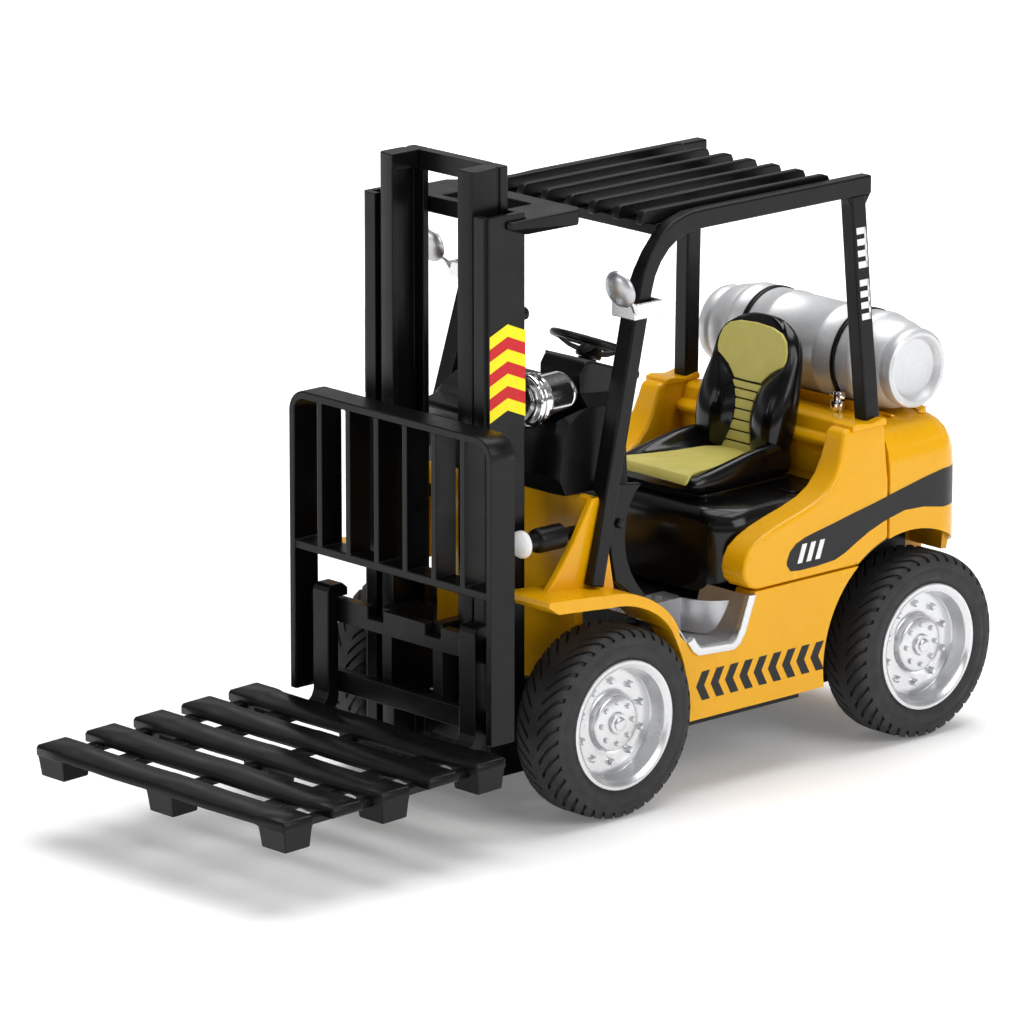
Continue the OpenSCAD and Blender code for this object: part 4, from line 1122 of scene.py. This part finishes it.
def mast_yoke():
    """Horseshoe plate round the mast top: wedge-shaped arms, a window, and the roller with its knob."""
    arms = [(18.15, -17.2), (18.9, -16.8), (19.2, -16.2), (19.2, 1.2), (17.4, 3), (-17.4, 3), (-19.2, 1.2),
        (-19.2, -16.2), (-18.9, -16.8), (-18.15, -17.2), (-18.15, MAST_REAR + 0.05),
        (18.15, MAST_REAR + 0.05)]
    plate = slab("plate", arms, "xy", 117, 120.2)
    edit(plate)
    reshape(plate, lambda p: (p[0], p[1],
        117 + (MAST_REAR - p[1]) * 0.34) if p[2] < 118 and p[1] < MAST_REAR - 0.1 else None)
    leave()
    window = slab("window", [(-9, -9.4), (9, -9.4), (9, -1.8), (-9, -1.8)], "xy", 114, 124)
    cut([plate], window)
    soften(plate, 0.5, 3, 40)
    half = 9.6
    bar = turned("roller", [(0, half), (0.75, half), (0.75, -half), (0, -half)], at(0, -6.6, 118.6), steps=24)
    knob = turned("knob", [(0, 1.9), (0.7, 1.8), (1.1, 1.3), (1.1, -1.3), (0.7, -1.8), (0, -1.9)],
        at(0, -6.6, 118.7), steps=24)
    smooth(bar, 40)
    smooth(knob, 40)
    fit(join("mast_yoke", plate, bar, knob), "outer_mast", SATIN_BLACK, "mast_top_plate",
        slot="black_plastic")


def load_pallet():
    """Five broad slats with raised, rounded ends on three runners and nine tapering feet."""
    droop = radians(1.8)
    rear, top = -34.0, 20.2

    def on_deck(x, y, z):
        return at(x, rear + y * cos(droop) - z * sin(droop), top + y * sin(droop) + z * cos(droop))

    half, length, broad = 36.7, 57.4, 7.9
    pitch = (length - broad) / 4
    left = [(-half, -0.45, -1.8, 0.4), (-half + 0.5, 0, -2.1, 0), (-half + 7.2, 0, -2.1, 0),
        (-half + 8.6, -0.3, -1.9, 0), (-14, -0.42, -2.1, 0), (-4.4, -0.3, -2.0, 0), (-3.4, -0.2, -2.0, 0)]
    parts = []
    for i in range(5):
        rear_edge = -i * pitch
        sections = []
        for x, z, low, ease in left + [(-x, *rest) for x, *rest in left[::-1]]:
            near, far = rear_edge - broad + ease, rear_edge - ease
            sections.append([on_deck(x, near, low), on_deck(x, near, z - 0.45), on_deck(x, near + 0.45, z),
                on_deck(x, far - 0.45, z), on_deck(x, far, z - 0.45), on_deck(x, far, low)])
        slat = loft("slat", sections)
        soften(slat, 0.18, 2, 50)
        parts.append(slat)
    for x in (-32.6, 0, 32.6):
        runner = loft("runner", [[on_deck(x + a, y, z) for a, z in ((-1.3, -1.6), (1.3, -1.6), (1.0, -3.2),
            (-1.0, -3.2))] for y in (-length + 2, -2)])
        soften(runner, 0.2, 2)
        parts.append(runner)
        for i in (0, 2, 4):
            middle = -i * pitch - broad / 2
            sections = []
            for wide, deep, z in ((3.95, 3.7, -1.7), (3.75, 3.5, -3.0), (3.45, 3.2, -6.1), (3.3, 3.05, -6.4)):
                sections.append([on_deck(x + a * wide, middle + b * deep, z) for a,
                    b in ((-1, -1), (1, -1), (1, 1), (-1, 1))])
            foot = loft("foot", sections)
            soften(foot, 0.35, 3, 50)
            parts.append(foot)
    fit(join("pallet_moulded", *parts), "load_pallet", SATIN_BLACK, "pallet", slot="black_plastic")


# ---------------------------------------------------------------- tank and step

def gas_tank():
    """Silver cylinder with weld beads, pressed shoulders, rolled foot rings and recessed ends."""
    half = [(0, 26.2), (5.2, 26.2), (5.9, 26.4), (6.3, 27.3), (6.8, 27.9), (7.4, 28.0), (8.0, 27.6),
        (8.2, 26.9), (8.2, 25.6), (8.0, 25.1), (8.0, 24.6), (8.6, 23.9), (9.1, 22.4), (9.4, 20.6),
        (9.5, 19.5), (9.45, 19.1), (9.75, 18.8), (10.0, 18.4), (10.1, 17.8), (10.1, 16.8), (9.9, 16.5),
        (9.9, 8.8), (10.15, 8.4), (10.15, 7.4), (9.9, 7.0), (9.9, 0)]
    profile = half + [(r, -x) for r, x in reversed(half[:-1])]
    tank = turned("gas_tank_pressed", profile, at(0, *TANK), (1, 0, 0), 72)
    smooth(tank, 40)
    fit(tank, "truck", SILVER, "gas_tank", slot="silver_paint")


def step_wells():
    """Bright step trays: floor, back wall that bulges round the hood's corner, and a proud white rim."""
    outer = [(19.6, 31.8), (21.0, 29.8), (22.6, 28.7), (32.2, 28.1), (33.9, 28.9), (35.4, 30.9), (38.4, 38.4)]
    inner = [(21.2, 32.6), (22.2, 31.2), (23.3, 30.5), (31.7, 29.9), (32.8, 30.5), (34.0, 32.2), (36.4, 38.4)]
    rail = loft("rail", [[at(30.2, *o), at(31.5, *o), at(31.7, *((Vector(o) * 0.7 + Vector(i) * 0.3))),
        at(31.7, *((Vector(o) * 0.3 + Vector(i) * 0.7))), at(31.5, *i), at(30.2, *i)] for o,
        i in zip(outer, inner)])
    smooth(rail, 50)
    bulge = [(17.4 + x * 1.2, 38.4 + y * 1.04) for x, y in arc((0, 0), 7.8, -84, 8, 12)]
    wall_plan = [(18.2, 19.0), (18.2, 25), (18.2, 30.2)] + bulge + [(26.7, 42)]
    back = loft("back_wall", [[at(x, y, 29.9), at(x, y, 36.6)] for x, y in wall_plan], closed=False)
    finish_modifier(back, "SOLIDIFY", thickness=0.3 * MM, offset=0.0)
    smooth(back, 40)
    floor_side = [(18.0, 34.6), (20.4, 31.2), (22.6, 29.9), (31.9, 29.5), (33.6, 30.9), (35.0, 34),
        (36.6, 38.4)]
    floor = loft("floor_sheet", [[at(17.8, *p), at(30.6, *p)] for p in floor_side], closed=False)
    finish_modifier(floor, "SOLIDIFY", thickness=0.3 * MM, offset=0.0)
    smooth(floor, 30)
    fit_pair(join("step_well", back, floor), "step_well", "truck", STEEL, "step_tray", "bright_plating")
    fit_pair(rail, "step_rim", "truck", WHEEL_SILVER, slot="bright_plating")


def tread_plate():
    """Chequer plate on the floor edge beside the hood: raised bars in alternating directions."""
    sheet = slab("sheet", [(9.4, 16.4), (17.9, 16.4), (17.9, 30.2), (14.0, 33.8), (9.4, 33.8)], "xy", 35.21,
        35.5)
    bars = [sheet]
    pitch, long, thin, corner = 1.6, 0.42, 0.14, 47.6
    for row in range(9):
        for column in range(5):
            x = 10.4 + column * pitch
            y = 17.4 + row * pitch
            slope = long if (row + column) % 2 else -long
            if x + y > corner:
                continue
            points = [(x - slope - thin, y - long), (x - slope + thin, y - long),
                (x + slope + thin, y + long), (x + slope - thin, y + long)]
            bars.append(slab("bar", points, "xy", 35.4, 35.75))
    fit_row("tread_plate", bars, "truck", STEEL, slot="steel")


# ---------------------------------------------------------------- stage

def studio():
    """Pale floor, soft overhead panels and a pale surround."""
    bpy.ops.object.select_all(action="DESELECT")
    bpy.ops.mesh.primitive_plane_add(size=6)
    floor = bpy.context.object
    floor.name = "studio_floor"
    material, tree, shader, place = new_material("matt_white_card", Base_Color=colour("#FAFAFA"),
        Roughness=0.7, Emission_Color=(1, 1, 1, 1))
    uneven_gloss(tree, shader, place, 60, 0.65, 0.75)
    away = add_node(tree, "ShaderNodeVectorMath", {0: (place, "Object")}, operation="LENGTH")
    glow = add_node(tree, "ShaderNodeMapRange", {"Value": (away, "Value"), "From Min": 0.12,
        "From Max": 0.7, "To Min": 0.12, "To Max": 0.9})
    tree.links.new(glow.outputs["Result"], shader.inputs["Emission Strength"])
    floor.data.materials.append(material)

    bpy.context.scene.view_settings.view_transform = "Standard"
    world = bpy.data.worlds.new("pale_surround")
    bpy.context.scene.world = world
    world.use_nodes = True
    tree = world.node_tree
    background = tree.nodes["Background"]
    way = add_node(tree, "ShaderNodeTexCoord")
    height = add_node(tree, "ShaderNodeSeparateXYZ", {"Vector": (way, "Generated")})
    bands = add_node(tree, "ShaderNodeValToRGB", {"Fac": (height, "Z")})
    bands.color_ramp.elements[0].position = 0.0
    bands.color_ramp.elements[0].color = (0.2, 0.2, 0.2, 1)
    bands.color_ramp.elements[1].position = 0.9
    bands.color_ramp.elements[1].color = (0.8, 0.8, 0.8, 1)
    for share, grey in ((0.16, 0.5), (0.25, 1.7), (0.36, 0.5), (0.5, 0.35)):
        band = bands.color_ramp.elements.new(share)
        band.color = (grey, grey, grey, 1)
    tree.links.new(bands.outputs["Color"], background.inputs["Color"])
    background.inputs["Strength"].default_value = 0.5

    def panel(name, location, target, size, watts):
        lamp = bpy.data.lights.new(name, "AREA")
        lamp.shape = "RECTANGLE"
        lamp.size, lamp.size_y = size
        lamp.energy = watts
        lamp_object = bpy.data.objects.new(name, lamp)
        lamp_object.location = location
        lamp_object.rotation_euler = (Vector(target) - Vector(location)).to_track_quat("-Z", "Y").to_euler()
        bpy.context.scene.collection.objects.link(lamp_object)

    panel("top_panel", (-0.1, 0.2, 0.9), (0, 0, 0), (0.8, 0.8), 8)
    panel("key_panel", (0.8, 0.1, 0.5), (0, 0, 0.05), (0.5, 0.5), 2.8)
    panel("front_panel", (-0.15, -1.0, 0.45), (0, 0, 0.05), (0.6, 0.4), 2.2)


def camera():
    """A long lens, level with the cab roof, at the three-quarter view from the front left."""
    azimuth, elevation, distance = radians(47.17), radians(14.575), 1.62837
    target = at(0, 1.36, 55.8)
    back = Vector((sin(azimuth) * cos(elevation), -cos(azimuth) * cos(elevation), sin(elevation)))
    lens = bpy.data.cameras.new("camera")
    lens.lens = 289.3
    lens.sensor_width = 36
    lens.clip_end = 20
    view = bpy.data.objects.new("camera", lens)
    view.location = target + back * distance
    view.rotation_euler = (-back).to_track_quat("-Z", "Y").to_euler()
    bpy.context.scene.collection.objects.link(view)
    bpy.context.scene.camera = view


for build in (wheels, lower_body, rear_cowl, counterweight, arch_liners, swoosh, slanted_mark,
        sill_chevrons, mast_chevrons, overhead_guard, post_slots, post_brackets, hood, seat_shell,
        seat_pads, dash, work_lamp, headlamps, steering_wheel, mirrors, roof_bars, outer_rails, inner_rails,
        mast_yoke, load_pallet, gas_tank, step_wells, tread_plate, studio, camera):
    build()
